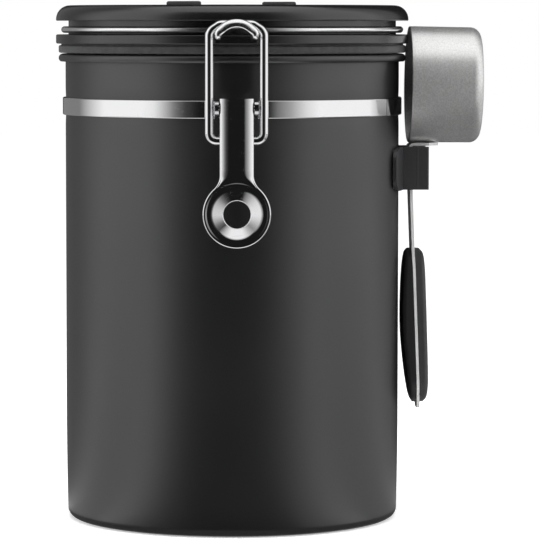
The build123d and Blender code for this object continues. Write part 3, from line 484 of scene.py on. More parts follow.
@dataclass(frozen=True)
class Moulding:
    """Moulded plastic with a satin or fine matte skin."""

    name: str
    colour: Colour
    roughness: Pair = (0.26, 0.32)
    grain: float = 2600.0
    grain_depth: float = 0.000008
    contrast: float = 1.0
    shades: Pair = (0.8, 1.2)
    dust: float = 0.03
    dust_size: float = 1500.0
    dust_colour: Colour = (0.35, 0.34, 0.33)
    haze_size: float = 45.0
    ior: float = 1.5

    def material(self) -> bpy.types.Material:
        """Build the material.

        Returns:
            The material.
        """
        dresser = Dresser(self.name, {"IOR": self.ior})
        grain = dresser.effect(Effect.SPECKLE, {"Size": self.grain, "Contrast": self.contrast})
        colour = dresser.shades(grain["Tone"], self.colour, self.shades)
        dust = dresser.effect(Effect.DUST, {"Size": self.dust_size, "Amount": self.dust})
        dresser.feed("Base Color", dresser.mix(dust["Mask"], colour, self.dust_colour))
        dresser.feed("Roughness", dresser.haze(self.haze_size, self.roughness))
        dresser.bump(grain["Height"], self.grain_depth)
        return dresser.material


@dataclass(frozen=True)
class BrushedSteel:
    """Bare steel with a directional brushed skin."""

    name: str
    colour: Colour
    lines: Triple
    roughness: Pair = (0.28, 0.4)
    mottle: float = 0.3
    depth: float = 0.000006
    contrast: float = 0.12
    spread: float = 0.0
    turned_about: str = ""
    spread_turn: float = 0.0
    metallic: float = 1.0
    tone_reach: Pair = (0.3, 0.7)

    def material(self) -> bpy.types.Material:
        """Build the material.

        Returns:
            The material.
        """
        constants = {"Metallic": self.metallic, "Anisotropic": self.spread}
        dresser = Dresser(self.name, constants | {"Anisotropic Rotation": self.spread_turn})
        if self.turned_about:
            tangent = dresser.wiring.node(
                "ShaderNodeTangent", {"direction_type": "RADIAL", "axis": self.turned_about}
            )
            dresser.feed("Tangent", tangent.outputs["Tangent"])
        values = {"Size": 1.0, "Mottle": self.mottle}
        brush = dresser.effect(Effect.BRUSH, values, dresser.scaled_place(self.lines))
        spread = dresser.wiring.stretched(brush["Tone"], self.tone_reach, (0.0, 1.0))
        shades = (1.0 - self.contrast, 1.0 + self.contrast)
        dresser.feed("Base Color", dresser.shades(spread, self.colour, shades))
        rough = dresser.wiring.stretched(brush["Tone"], self.tone_reach, self.roughness)
        dresser.feed("Roughness", rough)
        dresser.bump(brush["Height"], self.depth)
        return dresser.material


@dataclass(frozen=True)
class PolishedSteel:
    """Bright polished or plated steel."""

    name: str
    colour: Colour
    roughness: Pair = (0.05, 0.11)
    scratches: float = 0.12
    scratch_size: float = 160.0
    scratch_shade: float = 0.8
    haze_size: float = 120.0
    ripple_size: float = 350.0
    ripple_depth: float = 0.000004
    ripple_share: float = 0.35

    def material(self) -> bpy.types.Material:
        """Build the material.

        Returns:
            The material.
        """
        dresser = Dresser(self.name, {"Metallic": 1.0})
        haze = dresser.haze(self.haze_size, self.roughness)
        hair = dresser.effect(Effect.SCRATCH, {"Size": self.scratch_size, "Amount": self.scratches})
        dresser.feed("Roughness", dresser.wiring.calc("ADD", haze, hair["Mask"]))
        dresser.feed("Base Color", dresser.shades(hair["Mask"], self.colour, (1.0, self.scratch_shade)))
        ripple = dresser.effect(Effect.SPECKLE, {"Size": self.ripple_size, "Contrast": 1.0})
        dresser.bump(ripple["Height"], self.ripple_depth, self.ripple_share)
        return dresser.material


@dataclass(frozen=True)
class Silicone:
    """Soft moulded silicone with a mottled bloom."""

    name: str
    colour: Colour
    bloom: Colour
    roughness: Pair = (0.38, 0.55)
    mottle_size: float = 700.0
    mottle_depth: float = 0.00003
    contrast: float = 3.0
    haze_size: float = 160.0
    ior: float = 1.42
    sheen: Pair = (0.12, 0.5)

    def material(self) -> bpy.types.Material:
        """Build the material.

        Returns:
            The material.
        """
        weight, spread = self.sheen
        dresser = Dresser(self.name, {"IOR": self.ior, "Sheen Weight": weight, "Sheen Roughness": spread})
        mottle = dresser.effect(Effect.SPECKLE, {"Size": self.mottle_size, "Contrast": self.contrast})
        dresser.feed("Base Color", dresser.mix(mottle["Tone"], self.colour, self.bloom))
        dresser.feed("Roughness", dresser.haze(self.haze_size, self.roughness))
        dresser.bump(mottle["Height"], self.mottle_depth)
        return dresser.material


@dataclass(frozen=True)
class Felt:
    """Pressed fibre with a napped surface."""

    name: str
    colour: Colour
    fibres: Triple = (3500.0, 900.0, 2000.0)
    mottle: float = 0.5
    depth: float = 0.00015
    shades: Pair = (0.7, 1.2)
    roughness: float = 0.95
    sheen: Pair = (0.3, 0.6)

    def material(self) -> bpy.types.Material:
        """Build the material.

        Returns:
            The material.
        """
        weight, spread = self.sheen
        constants = {"Roughness": self.roughness, "Sheen Weight": weight, "Sheen Roughness": spread}
        dresser = Dresser(self.name, constants)
        values = {"Size": 1.0, "Mottle": self.mottle}
        fibres = dresser.effect(Effect.BRUSH, values, dresser.scaled_place(self.fibres))
        dresser.feed("Base Color", dresser.shades(fibres["Tone"], self.colour, self.shades))
        dresser.bump(fibres["Height"], self.depth)
        return dresser.material


@dataclass(frozen=True)
class Ink:
    """Opaque pale ink for numbers and marks."""

    name: str
    colour: Colour
    grain: float = 4000.0
    contrast: float = 1.5
    shades: Pair = (0.85, 1.1)
    roughness: float = 0.55

    def material(self) -> bpy.types.Material:
        """Build the material.

        Returns:
            The material.
        """
        dresser = Dresser(self.name, {"Roughness": self.roughness})
        worn = dresser.effect(Effect.SPECKLE, {"Size": self.grain, "Contrast": self.contrast})
        dresser.feed("Base Color", dresser.shades(worn["Tone"], self.colour, self.shades))
        return dresser.material


@cache
def paint(finish: Finish) -> bpy.types.Material:
    """Give a finish's material, built on first use."""
    return finish.material()


BODY_PAINT = PowderCoat("body_paint", (0.007, 0.007, 0.0073), (0.35, 0.41))
CUP_STEEL = BrushedSteel("cup_steel", (0.56, 0.56, 0.57), (40.0, 40.0, 1800.0), (0.3, 0.42))
BAND_CHROME = PolishedSteel("band_chrome", (0.86, 0.86, 0.87), (0.06, 0.12))
WIRE_CHROME = PolishedSteel("wire_chrome", (0.88, 0.88, 0.89), (0.04, 0.09))
CLAMP_CHROME = PolishedSteel("clamp_chrome", (0.94, 0.94, 0.95), (0.2, 0.22), 0.02)
LEVER_CHROME = PolishedSteel("lever_chrome", (0.86, 0.86, 0.87), (0.05, 0.1))
PLATE_STEEL = PolishedSteel("plate_steel", (0.7, 0.7, 0.71), (0.12, 0.2))
HINGE_STEEL = BrushedSteel("hinge_steel", (0.58, 0.58, 0.59), (1500.0, 60.0, 60.0), (0.25, 0.36))
PIN_STEEL = BrushedSteel("pin_steel", (0.6, 0.6, 0.61), (2200.0, 90.0, 90.0), (0.22, 0.34))
SCREW_STEEL = BrushedSteel("screw_steel", (0.62, 0.61, 0.6), (400.0, 400.0, 400.0), (0.2, 0.32))
BOWL_STEEL = BrushedSteel(
    "bowl_steel", (0.87, 0.865, 0.85), (2400.0, 1700.0, 1700.0), (0.38, 0.48), 0.04, contrast=0.2,
    spread=0.6, turned_about="X", spread_turn=0.25, metallic=0.88,
)
STRIP_STEEL = BrushedSteel(
    "strip_steel", (0.9, 0.9, 0.89), (60.0, 1600.0, 60.0), (0.45, 0.58), metallic=0.55
)
LID_BLACK = Moulding("lid_black", (0.006, 0.006, 0.0065), (0.2, 0.27), ior=1.75)
VALVE_BLACK = Moulding("valve_black", (0.018, 0.018, 0.019), (0.34, 0.42))
DIAL_BLACK = Moulding("dial_black", (0.02, 0.02, 0.021), (0.42, 0.5), 3000.0, 0.00002)
SCALE_BLACK = Moulding("scale_black", (0.016, 0.016, 0.017), (0.36, 0.44))
CLIP_GREY = Moulding("clip_grey", (0.028, 0.028, 0.03), (0.36, 0.44), 2200.0, 0.00001)
GRIP_BLACK = Moulding("grip_black", (0.013, 0.013, 0.014), (0.38, 0.46), 1700.0, 0.00002)
GRIP_GRAINED = Moulding("grip_grained", (0.03, 0.03, 0.031), (0.46, 0.55), 1500.0, 0.00005, 2.5)
SEAL_SILICONE = Silicone("seal_silicone", (0.016, 0.016, 0.017), (0.04, 0.04, 0.041))
DISC_SILICONE = Silicone("disc_silicone", (0.42, 0.42, 0.4), (0.52, 0.52, 0.5))
PAD_FOAM = Felt("pad_foam", (0.09, 0.09, 0.09))
FILTER_FELT = Felt("filter_felt", (0.62, 0.6, 0.55))
PALE_INK = Ink("pale_ink", (0.72, 0.72, 0.7))


def arc(centre: Pair, radius: float, start: float, end: float, steps: int) -> list[Pair]:
    """Points on an arc.

    Args:
        centre: Its centre.
        radius: Its radius.
        start: Angle of its first point in degrees.
        end: Angle of its last point in degrees.
        steps: Number of runs between the points.

    Returns:
        The points.
    """
    points = []
    for index in range(steps + 1):
        angle = math.radians(start + (end - start) * index / steps)
        points.append((centre[0] + radius * math.cos(angle), centre[1] + radius * math.sin(angle)))
    return points


def fillet(before: Vector, corner: Vector, after: Vector, radius: float, steps: int) -> list[Vector]:
    """Points on the arc that rounds a corner.

    Args:
        before: The point before the corner.
        corner: The corner.
        after: The point after it.
        radius: Radius of the arc.
        steps: Number of runs between the points.

    Returns:
        The points.
    """
    back = (before - corner).normalized()
    onward = (after - corner).normalized()
    half = back.angle(onward) / 2
    reach = radius / math.tan(half)
    centre = corner + (back + onward).normalized() * (radius / math.sin(half))
    first = corner + back * reach - centre
    last = corner + onward * reach - centre
    axis = first.cross(last).normalized()
    turn = math.atan2(first.cross(last).length, first.dot(last))
    return [centre + Matrix.Rotation(turn * step / steps, 3, axis) @ first for step in range(steps + 1)]


def rounded(points: Sequence[Pair], radii: dict[int, float], steps: int = 7) -> list[Pair]:
    """Round the listed corners of a closed outline.

    Args:
        points: The outline's corners.
        radii: Radius by corner number.
        steps: Number of runs on each rounding.

    Returns:
        The points of the rounded outline.
    """
    spots = [Vector((*point, 0.0)) for point in points]
    result = []
    for index, point in enumerate(points):
        if index in radii:
            after = spots[(index + 1) % len(spots)]
            bend = fillet(spots[index - 1], spots[index], after, radii[index], steps)
            result += [(spot.x, spot.y) for spot in bend]
        else:
            result.append(point)
    return result


def bent(points: Sequence[Triple], radii: Sequence[float], steps: int) -> list[Vector]:
    """Bend a wire's run of straight pieces at its inner points.

    Args:
        points: Ends and corners of the run.
        radii: Bend radius at each corner between the ends.
        steps: Number of runs on each bend.

    Returns:
        Points along the bent wire.
    """
    spots = [Vector(point) for point in points]
    path = [spots[0]]
    for before, corner, after, radius in zip(spots, spots[1:], spots[2:], radii):
        path += fillet(before, corner, after, radius, steps)
    return [*path, spots[-1]]


class Shape:
    """A mesh in the making, in millimetres."""

    def __init__(self) -> None:
        """Start with no points and no faces."""
        self.mesh = bmesh.new()

    def row(self, points: Sequence[Sequence[float]]) -> list[bmesh.types.BMVert]:
        """Add a row of points and give its vertices."""
        return [self.mesh.verts.new(Vector(point) * MM) for point in points]

    def face(self, vertices: Sequence[bmesh.types.BMVert]) -> None:
        """Add one face."""
        self.mesh.faces.new(vertices)

    def skin(
        self,
        rows: Sequence[Sequence[bmesh.types.BMVert]],
        closed_rows: bool = False,
        closed_columns: bool = False,
    ) -> None:
        """Join rows of vertices by faces.

        Args:
            rows: Rows of the same length.
            closed_rows: Whether each row is a loop.
            closed_columns: Whether the last row joins the first.
        """
        count = len(rows[0])
        row_pairs = list(zip(rows, rows[1:])) + ([(rows[-1], rows[0])] if closed_columns else [])
        for low, high in row_pairs:
            for index in range(count if closed_rows else count - 1):
                following = (index + 1) % count
                self.face([low[index], low[following], high[following], high[index]])

    def ends(self, rows: Sequence[Sequence[bmesh.types.BMVert]]) -> None:
        """Close the first and the last of several looped rows by a face each."""
        self.face(rows[0][::-1])
        self.face(rows[-1])

    def lathe(
        self,
        profile: Sequence[Pair],
        steps: int = TURN_STEPS,
        sweep: Pair = (0.0, FULL_TURN),
        place: Matrix | None = None,
        outline: bool = True,
    ) -> None:
        """Turn a line about +Z.

        Args:
            profile: Radius and height of each point.
            steps: Number of runs round the axis.
            sweep: First and last azimuth in degrees.
            place: Where the turned shape goes, in millimetres.
            outline: Whether the line is a closed outline.
        """
        start, end = sweep
        whole = abs(end - start) >= FULL_TURN
        place = place or Matrix.Identity(4)
        rows = []
        for index in range(steps if whole else steps + 1):
            angle = math.radians(start + (end - start) * index / steps)
            points = [place @ Vector((r * math.cos(angle), r * math.sin(angle), z)) for r, z in profile]
            rows.append(self.row(points))
        self.skin(rows, closed_rows=outline, closed_columns=whole)
        if outline and not whole:
            self.ends(rows)

    def slab(self, low: Sequence[Sequence[float]], high: Sequence[Sequence[float]]) -> None:
        """Join two outlines into a closed slab.

        Args:
            low: Points of the first outline.
            high: As many points of the second.
        """
        rows = [self.row(low), self.row(high)]
        self.skin(rows, closed_rows=True)
        self.ends(rows)

    def tube(
        self,
        path: Sequence[Vector],
        sections: Sequence[Sequence[Pair]],
        up: Triple,
        closed: bool = False,
    ) -> None:
        """Sweep closed sections along a path, without twist.

        Args:
            path: Points of the path.
            sections: The section at each point, across and along the up side.
            up: Direction of the section's second side at the start.
            closed: Whether the path is a loop.
        """
        count = len(path)
        side_up = Vector(up)
        rows = []
        for index, point in enumerate(path):
            before = path[index - 1] if index or closed else point
            after = path[(index + 1) % count] if index < count - 1 or closed else point
            along = (after - before).normalized()
            side_up = (side_up - along * side_up.dot(along)).normalized()
            across = along.cross(side_up)
            rows.append(self.row([point + across * a + side_up * b for a, b in sections[index]]))
        self.skin(rows, closed_rows=True, closed_columns=closed)
        if not closed:
            self.ends(rows)

    def make(self, name: str) -> bpy.types.Object:
        """Finish the mesh and put it in the scene.

        Args:
            name: The piece's name.

        Returns:
            The new object.
        """
        bmesh.ops.remove_doubles(self.mesh, verts=self.mesh.verts, dist=WELD_REACH)
        bmesh.ops.dissolve_degenerate(self.mesh, edges=self.mesh.edges, dist=WELD_REACH)
        bmesh.ops.recalc_face_normals(self.mesh, faces=self.mesh.faces)
        data = bpy.data.meshes.new(name)
        self.mesh.to_mesh(data)
        self.mesh.free()
        data.shade_smooth()
        data.set_sharp_from_angle(angle=SHARP_ANGLE)
        made = bpy.data.objects.new(name, data)
        bpy.context.scene.collection.objects.link(made)
        weighted = made.modifiers.new("even_shading", "WEIGHTED_NORMAL")
        weighted.keep_sharp = True
        return made


def oval(width: float, depth: float, steps: int) -> list[Pair]:
    """Round or flattened section of a wire.

    Args:
        width: Full size across.
        depth: Full size along the up side.
        steps: Number of points.

    Returns:
        The section's points.
    """
    return [(x * width, y * depth) for x, y in arc((0, 0), 0.5, 0, FULL_TURN, steps)[:-1]]


def blend(low: float, high: float, share: float) -> float:
    """Change smoothly from one value to another as the share goes from 0 to 1."""
    held = min(1.0, max(0.0, share))
    return low + (high - low) * held * held * (3 - 2 * held)


def between(stops: Sequence[Pair], place: float) -> float:
    """Value at a place along a run of stops, held at its ends.

    Args:
        stops: Places in rising order and the value at each.
        place: Where to read the value.

    Returns:
        The value.
    """
    for low, high in zip(stops, stops[1:]):
        if place <= high[0]:
            return low[1] + (high[1] - low[1]) * max(0.0, place - low[0]) / (high[0] - low[0])
    return stops[-1][1]


class Assembly:
    """Common ways to place and dress pieces."""

    body = Body.CANISTER
    dressed: dict[str, Finish] = {}

    def put(
        self,
        piece: bpy.types.Object,
        slot: str,
        finishes: Sequence[Finish],
        replaces: Sequence[str] = (),
        body: Body | None = None,
    ) -> None:
        """Dress a piece and let it ride on its body.

        Args:
            piece: The new piece.
            slot: The record's material slot; not used.
            finishes: Its finishes, in the order that its faces name them.
            replaces: CAD nodes that it stands for.
            body: The body, or the sub-assembly's own.
        """
        for finish in finishes:
            piece.data.materials.append(paint(finish))
        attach(piece, (body or self.body).value)
        if replaces:
            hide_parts(*replaces)
        LOG.info("%s rides on %s", piece.name, (body or self.body).value)

    def turn(self, name: str, profile: Sequence[Pair], slot: str, finish: Finish, node: str) -> None:
        """Make a piece as one turned outline.

        Args:
            name: The piece's name.
            profile: Radius and height of each point of its outline.
            slot: The record's material slot.
            finish: Its finish.
            node: The CAD node that it stands for.
        """
        shape = Shape()
        shape.lathe(profile)
        self.put(shape.make(name), slot, [finish], [node])

    def dress_nodes(self) -> None:
        """Give the CAD nodes of this sub-assembly their finishes."""
        for node, finish in self.dressed.items():
            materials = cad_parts[node].data.materials
            materials.clear()
            materials.append(paint(finish))
            LOG.info("%s is dressed in %s", node, finish.name)


@dataclass
class CanisterCup(Assembly):
    """The drawn cup, its band and what is fixed to the band."""

    dressed = {
        "latch_bracket": PLATE_STEEL,
        "latch_rivets": PLATE_STEEL,
        "hinge_bracket": HINGE_STEEL,
        "hinge_rivets": HINGE_STEEL,
        "lever_pivot_pin": PIN_STEEL,
        "hinge_pin": PIN_STEEL,
    }
    radius: float = 58.8
    wall: float = 0.6
    rim_z: float = 163.7
    curl_r: float = 1.5
    curl_turn: float = 235.0
    curl_steps: tuple[int, int] = (24, 30)
    corner_r: float = 3.0
    corner_steps: int = 10
    draw_in: float = 0.45
    draw_in_height: float = 38.0
    bead_r: float = 46.0
    bead_width: float = 5.0
    bead_rise: float = 0.8
    bead_steps: int = 16
    band_fit: float = 0.05
    band_thickness: float = 0.95
    band_bottom: float = 142.3
    band_height: float = 6.1
    band_edge_r: float = 0.42
    seam_azimuth: float = -28.0
    seam_width: float = 0.4
    pinch: float = 0.22
    pinch_reach: float = 7.0
    fine_step: float = 0.5
    coarse_step: float = 3.0

    def build(self) -> None:
        """Make the cup and the band and dress the brackets."""
        self.cup()
        self.band()
        self.dress_nodes()

    def wall_points(self, inset: float) -> list[Pair]:
        """Height line of the cup's side, drawn in at the foot and under the band.

        Args:
            inset: Distance in from the outer face.

        Returns:
            Points from the foot's corner to the rim's curl.
        """
        middle = self.band_bottom + self.band_height / 2
        points = []
        z = self.corner_r
        while z < self.rim_z - self.curl_r:
            drawn = self.draw_in * max(0.0, 1 - (z - self.corner_r) / self.draw_in_height) ** 2
            squeezed = self.pinch * blend(1.0, 0.0, abs(z - middle) / self.pinch_reach)
            points.append((self.radius - drawn - squeezed - inset, z))
            near_band = abs(z - middle) < self.pinch_reach + 1
            z += self.fine_step if near_band else self.coarse_step
        return [*points, (self.radius - inset, self.rim_z - self.curl_r)]

    def floor_points(self, inset: float) -> list[Pair]:
        """Line of the cup's floor with its stiffening bead.

        Args:
            inset: Distance in from the outer face.

        Returns:
            Points from the axis to the start of the side.
        """
        points = [(0.0, inset)]
        for step in range(self.bead_steps + 1):
            share = step / self.bead_steps
            r = self.bead_r + self.bead_width * (share - 0.5)
            points.append((r, inset + self.bead_rise * math.sin(math.pi * share) ** 2))
        corner = (self.radius - self.draw_in - self.corner_r, self.corner_r)
        return points + arc(corner, self.corner_r - inset, -90, 0, self.corner_steps)[:-1]

    def cup(self) -> None:
        """Make the cup as one turned sheet, painted outside and bare inside."""
        curl_centre = (self.radius - self.wall + self.curl_r, self.rim_z - self.curl_r)
        end = 180 - self.curl_turn
        fewer, more = self.curl_steps
        outer = self.floor_points(0.0) + self.wall_points(0.0)[:-1]
        inner_curl = arc(curl_centre, self.curl_r - self.wall, 180, end, fewer)
        outer_curl = arc(curl_centre, self.curl_r, end, 180, more)
        inner = self.floor_points(self.wall) + self.wall_points(self.wall)[:-1]
        profile = outer + inner_curl + outer_curl + inner[::-1]
        split = len(outer) + len(inner_curl) + len(outer_curl) - 1
        shape = Shape()
        shape.lathe(profile)
        shape.mesh.faces.ensure_lookup_table()
        for index, face in enumerate(shape.mesh.faces):
            face.material_index = 1 if index % len(profile) >= split else 0
        self.put(shape.make("cup"), "body_paint", [BODY_PAINT, CUP_STEEL], ["canister_shell"])

    def band(self) -> None:
        """Make the bright band, open at its seam."""
        inner = self.radius + self.band_fit
        outer = inner + self.band_thickness
        top = self.band_bottom + self.band_height
        corners = [(inner, self.band_bottom), (outer, self.band_bottom), (outer, top), (inner, top)]
        profile = rounded(corners, {1: self.band_edge_r, 2: self.band_edge_r})
        gap = math.degrees(self.seam_width / outer)
        start = self.seam_azimuth + gap / 2
        shape = Shape()
        shape.lathe(profile, sweep=(start, start + FULL_TURN - gap))
        self.put(shape.make("band"), "band_steel", [BAND_CHROME], ["body_band"])


@dataclass
class LidParts(Assembly):
    """The hinged lid: cap, base, seal and what is fixed in it."""

    body = Body.LID
    dressed = {
        "lid_screws": SCREW_STEEL,
        "hinge_leaf": HINGE_STEEL,
        "valve_seal": SEAL_SILICONE,
        "valve_filter": FILTER_FELT,
        "date_scale": SCALE_BLACK,
        "valve_housing": VALVE_BLACK,
        "filter_retainer": VALVE_BLACK,
        "valve_cap": VALVE_BLACK,
    }
    dome_r: float = 62.1
    dome_z: float = 175.2
    dome_height: float = 5.4
    dome_corner_r: float = 4.9
    cap_wall: float = 2.6
    cap_edge_r: float = 0.4
    cap_inner_r: float = 1.0
    cap_edge_steps: int = 9
    recess_edge_r: float = 0.15
    seat_r: float = 55.0
    hub_r: float = 10.95
    hub_heights: Pair = (180.61, 181.65)
    hub_drop: float = 0.8
    dial_r: float = 29.15
    dial_recess: float = 1.4
    scale_inner: float = 30.45
    scale_outer: float = 42.05
    scale_recess: float = 0.8
    neck_r: float = 57.7
    neck_wall: float = 3.0
    neck_foot_r: float = 0.4
    flange_top: float = 170.4
    flange_height: float = 3.2
    flange_edge_r: float = 0.5
    plug_r: float = 56.6
    plug_z: float = 161.5
    plug_inner_r: float = 1.5
    lid_floor: float = 2.2
    valve_bore_r: float = 9.0
    seal_groove: Triple = (9.75, 10.85, 0.9)
    gasket_r: float = 61.2
    gasket_fit: float = 0.05
    gasket_gap: float = 0.3
    gasket_groove: Pair = (0.9, 0.5)
    gasket_lip: Pair = (0.9, 2.4)
    gasket_radii: tuple[float, ...] = (0.15, 0.6, 0.6, 0.4, 0.42)

    def build(self) -> None:
        """Make the lid's pieces and dress the fixed ones."""
        self.cap()
        self.base()
        self.gasket()
        self.dress_nodes()
        self.flatten_hub()

    def flatten_hub(self) -> None:
        """Press the valve's cap flatter, so that the lid's edge hides it from the front."""
        low, high = self.hub_heights
        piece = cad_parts["valve_cap"]
        group = piece.vertex_groups.new(name="raised")
        for vertex in piece.data.vertices:
            share = (vertex.co.z / MM - low) / (high - low)
            if share > 0:
                group.add([vertex.index], min(1.0, share), "REPLACE")
        press = piece.modifiers.new("flatter", "DISPLACE")
        press.direction = "Z"
        press.mid_level = 0.0
        press.strength = -self.hub_drop * MM
        press.vertex_group = group.name

    def cap(self) -> None:
        """Make the domed cap with the recesses for dial and scale."""
        top = self.dome_z + self.dome_height
        under = top - self.cap_wall
        points = [
            (self.hub_r, top - self.dial_recess),
            (self.dial_r, top - self.dial_recess),
            (self.dial_r, top),
            (self.scale_inner, top),
            (self.scale_inner, top - self.scale_recess),
            (self.scale_outer, top - self.scale_recess),
            (self.scale_outer, top),
            (self.dome_r, top),
            (self.dome_r, self.dome_z),
            (self.seat_r, self.dome_z),
            (self.seat_r, under),
            (self.hub_r, under),
        ]
        radii = dict.fromkeys((2, 3, 6), self.recess_edge_r)
        radii |= {7: self.dome_corner_r, 8: self.cap_edge_r, 10: self.cap_inner_r}
        profile = rounded(points, radii, self.cap_edge_steps)
        self.turn("cap", profile, "lid_plastic", LID_BLACK, "lid_cap")

    def base(self) -> None:
        """Make the lid's base with neck, flange and plug."""
        inner = self.neck_r - self.neck_wall
        low = self.flange_top - self.flange_height
        floor_z = self.dome_z - self.lid_floor
        groove_in, groove_out, groove_depth = self.seal_groove
        points = [
            (self.valve_bore_r, self.dome_z),
            (groove_in, self.dome_z),
            (groove_in, self.dome_z - groove_depth),
            (groove_out, self.dome_z - groove_depth),
            (groove_out, self.dome_z),
            (self.neck_r, self.dome_z),
            (self.neck_r, self.flange_top),
            (self.dome_r, self.flange_top),
            (self.dome_r, low),
            (self.plug_r, low),
            (self.plug_r, self.plug_z),
            (inner, self.plug_z),
            (inner, floor_z),
            (self.valve_bore_r, floor_z),
        ]
        radii = dict.fromkeys((7, 8, 10, 11), self.flange_edge_r)
        radii |= {6: self.neck_foot_r, 12: self.plug_inner_r}
        self.turn("base", rounded(points, radii), "lid_plastic", LID_BLACK, "lid_base")

    def gasket(self) -> None:
        """Make the silicone ring with its groove and lip."""
        top = self.flange_top - self.flange_height - self.gasket_fit
        bottom = CanisterCup.rim_z + self.gasket_gap
        inner = self.plug_r + self.gasket_fit
        depth, height = self.gasket_groove
        wall, drop = self.gasket_lip
        points = [
            (inner, top),
            (self.gasket_r - depth, top),
            (self.gasket_r - depth, top - height),
            (self.gasket_r, top - height),
            (self.gasket_r, bottom),
            (inner + wall, bottom),
            (inner + wall, bottom - drop),
            (inner, bottom - drop),
        ]
        profile = rounded(points, dict(enumerate(self.gasket_radii, start=2)))
        self.turn("gasket", profile, "gasket_silicone", SEAL_SILICONE, "lid_gasket")


@dataclass
class ClampWire(Assembly):
    """The wire round the lid's neck, whose ends meet in the latch hook."""

    body = Body.LID
    wire_r: float = 1.15
    ring_r: float = 59.1
    ring_z: float = 172.1
    leg_x: float = 6.2
    leg_r: float = 1.1
    dome_r: float = 62.1
    dome_gap: float = 1.0
    over_flange_z: float = 171.55
    bar_u: float = 64.45
    low_z: float = 169.9
    hook_u: float = 67.35
    hook_rise: float = 1.4
    hook_reach: float = 0.9
    bends: tuple[float, ...] = (1.2, 1.3, 1.2, 0.9)
    bend_steps: int = 8
    arch_rise: float = 1.0
    arch_steps: int = 36
    crest_z: float = 174.35
    crest_width: float = 3.4
    hook_depth: float = 2.0
    hook_tilt: float = 32.0
    widening: float = 1.6
    steps: int = 220
    section_steps: int = 40

    def build(self) -> None:
        """Make the wire as one swept length."""
        ring = self.ring_points()
        leg = [
            (self.leg_x, -self.dome_r, self.over_flange_z),
            (self.leg_x, -self.bar_u, self.low_z),
            (self.leg_x, -self.hook_u, self.low_z),
            (self.leg_x, -self.hook_u, self.low_z + self.hook_rise),
        ]
        right = bent([*ring[-2:], *leg], self.bends, self.bend_steps)[1:-1]
        left = [Vector((-point.x, point.y, point.z)) for point in reversed(right)]
        path = ring[:-1] + right + self.arch_points() + left
        shape = Shape()
        shape.tube(path, [self.section(point) for point in path], (0, 0, 1), closed=True)
        self.put(shape.make("clamp_wire"), "wire_chrome", [CLAMP_CHROME], ["clamp_ring"])

    def ring_points(self) -> list[Vector]:
        """Middle line of the ring, from the left leg round the back to the right leg.

        Returns:
            The points.
        """
        gap = math.degrees(math.asin(self.leg_x / self.ring_r))
        spots = arc((0, 0), self.ring_r, -90 - gap, -90 - FULL_TURN + gap, self.steps)
        return [Vector((x, y, self.ring_z)) for x, y in spots]

    def arch_points(self) -> list[Vector]:
        """Middle line of the hook's arch, from right to left.

        Returns:
            The points.
        """
        rise = self.crest_z - self.low_z - self.arch_rise
        radius = (self.leg_x**2 + rise**2) / (2 * rise)
        half = math.degrees(math.asin(self.leg_x / radius))
        spots = arc((0.0, self.crest_z - radius), radius, 90 - half, 90 + half, self.arch_steps)
        return [Vector((x, -self.hook_u, z)) for x, z in spots]

    def section(self, point: Vector) -> list[Pair]:
        """Section of the wire at a point: round on the ring, flattened on the arch.

        Args:
            point: A point of the path.

        Returns:
            The section's points.
        """
        if point.y > -self.hook_u + self.hook_reach:
            radius = self.wire_r if point.y > -self.dome_r + self.dome_gap else self.leg_r
            return oval(2 * radius, 2 * radius, self.section_steps)
        share = self.widening * (point.z - self.low_z) / (self.crest_z - self.low_z)
        width = blend(2 * self.leg_r, self.crest_width, share)
        flat = oval(width, blend(2 * self.leg_r, self.hook_depth, share), self.section_steps)
        turn = Matrix.Rotation(math.radians(blend(0.0, -self.hook_tilt, share)), 2)
        return [tuple(turn @ Vector(spot)) for spot in flat]


@dataclass
class LatchLink(Assembly):
    """The thick wire loop between lever and hook."""

    body = Body.LINK
    wire_r: float = 1.5
    u: float = 64.45
    end_x: float = 4.4
    leg_x: float = 9.15
    pin_z: float = 135.05
    corner_z: float = 171.6
    bar_x: float = 5.6
    bar_z: float = 173.9
    foot_r: float = 2.6
    corner_r: float = 3.0
    bend_steps: int = 14
    section_steps: int = 32

    def build(self) -> None:
        """Make the loop."""
        half = [
            (self.end_x, -self.u, self.pin_z),
            (self.leg_x, -self.u, self.pin_z),
            (self.leg_x, -self.u, self.corner_z),
            (self.bar_x, -self.u, self.bar_z),
        ]
        points = half + [(-x, y, z) for x, y, z in reversed(half)]
        bends = [self.foot_r, self.corner_r, self.corner_r]
        path = bent(points, bends + bends[::-1], self.bend_steps)
        shape = Shape()
        section = oval(2 * self.wire_r, 2 * self.wire_r, self.section_steps)
        shape.tube(path, [section] * len(path), (0, 1, 0))
        self.put(shape.make("link_wire"), "wire_chrome", [WIRE_CHROME], ["latch_link"])


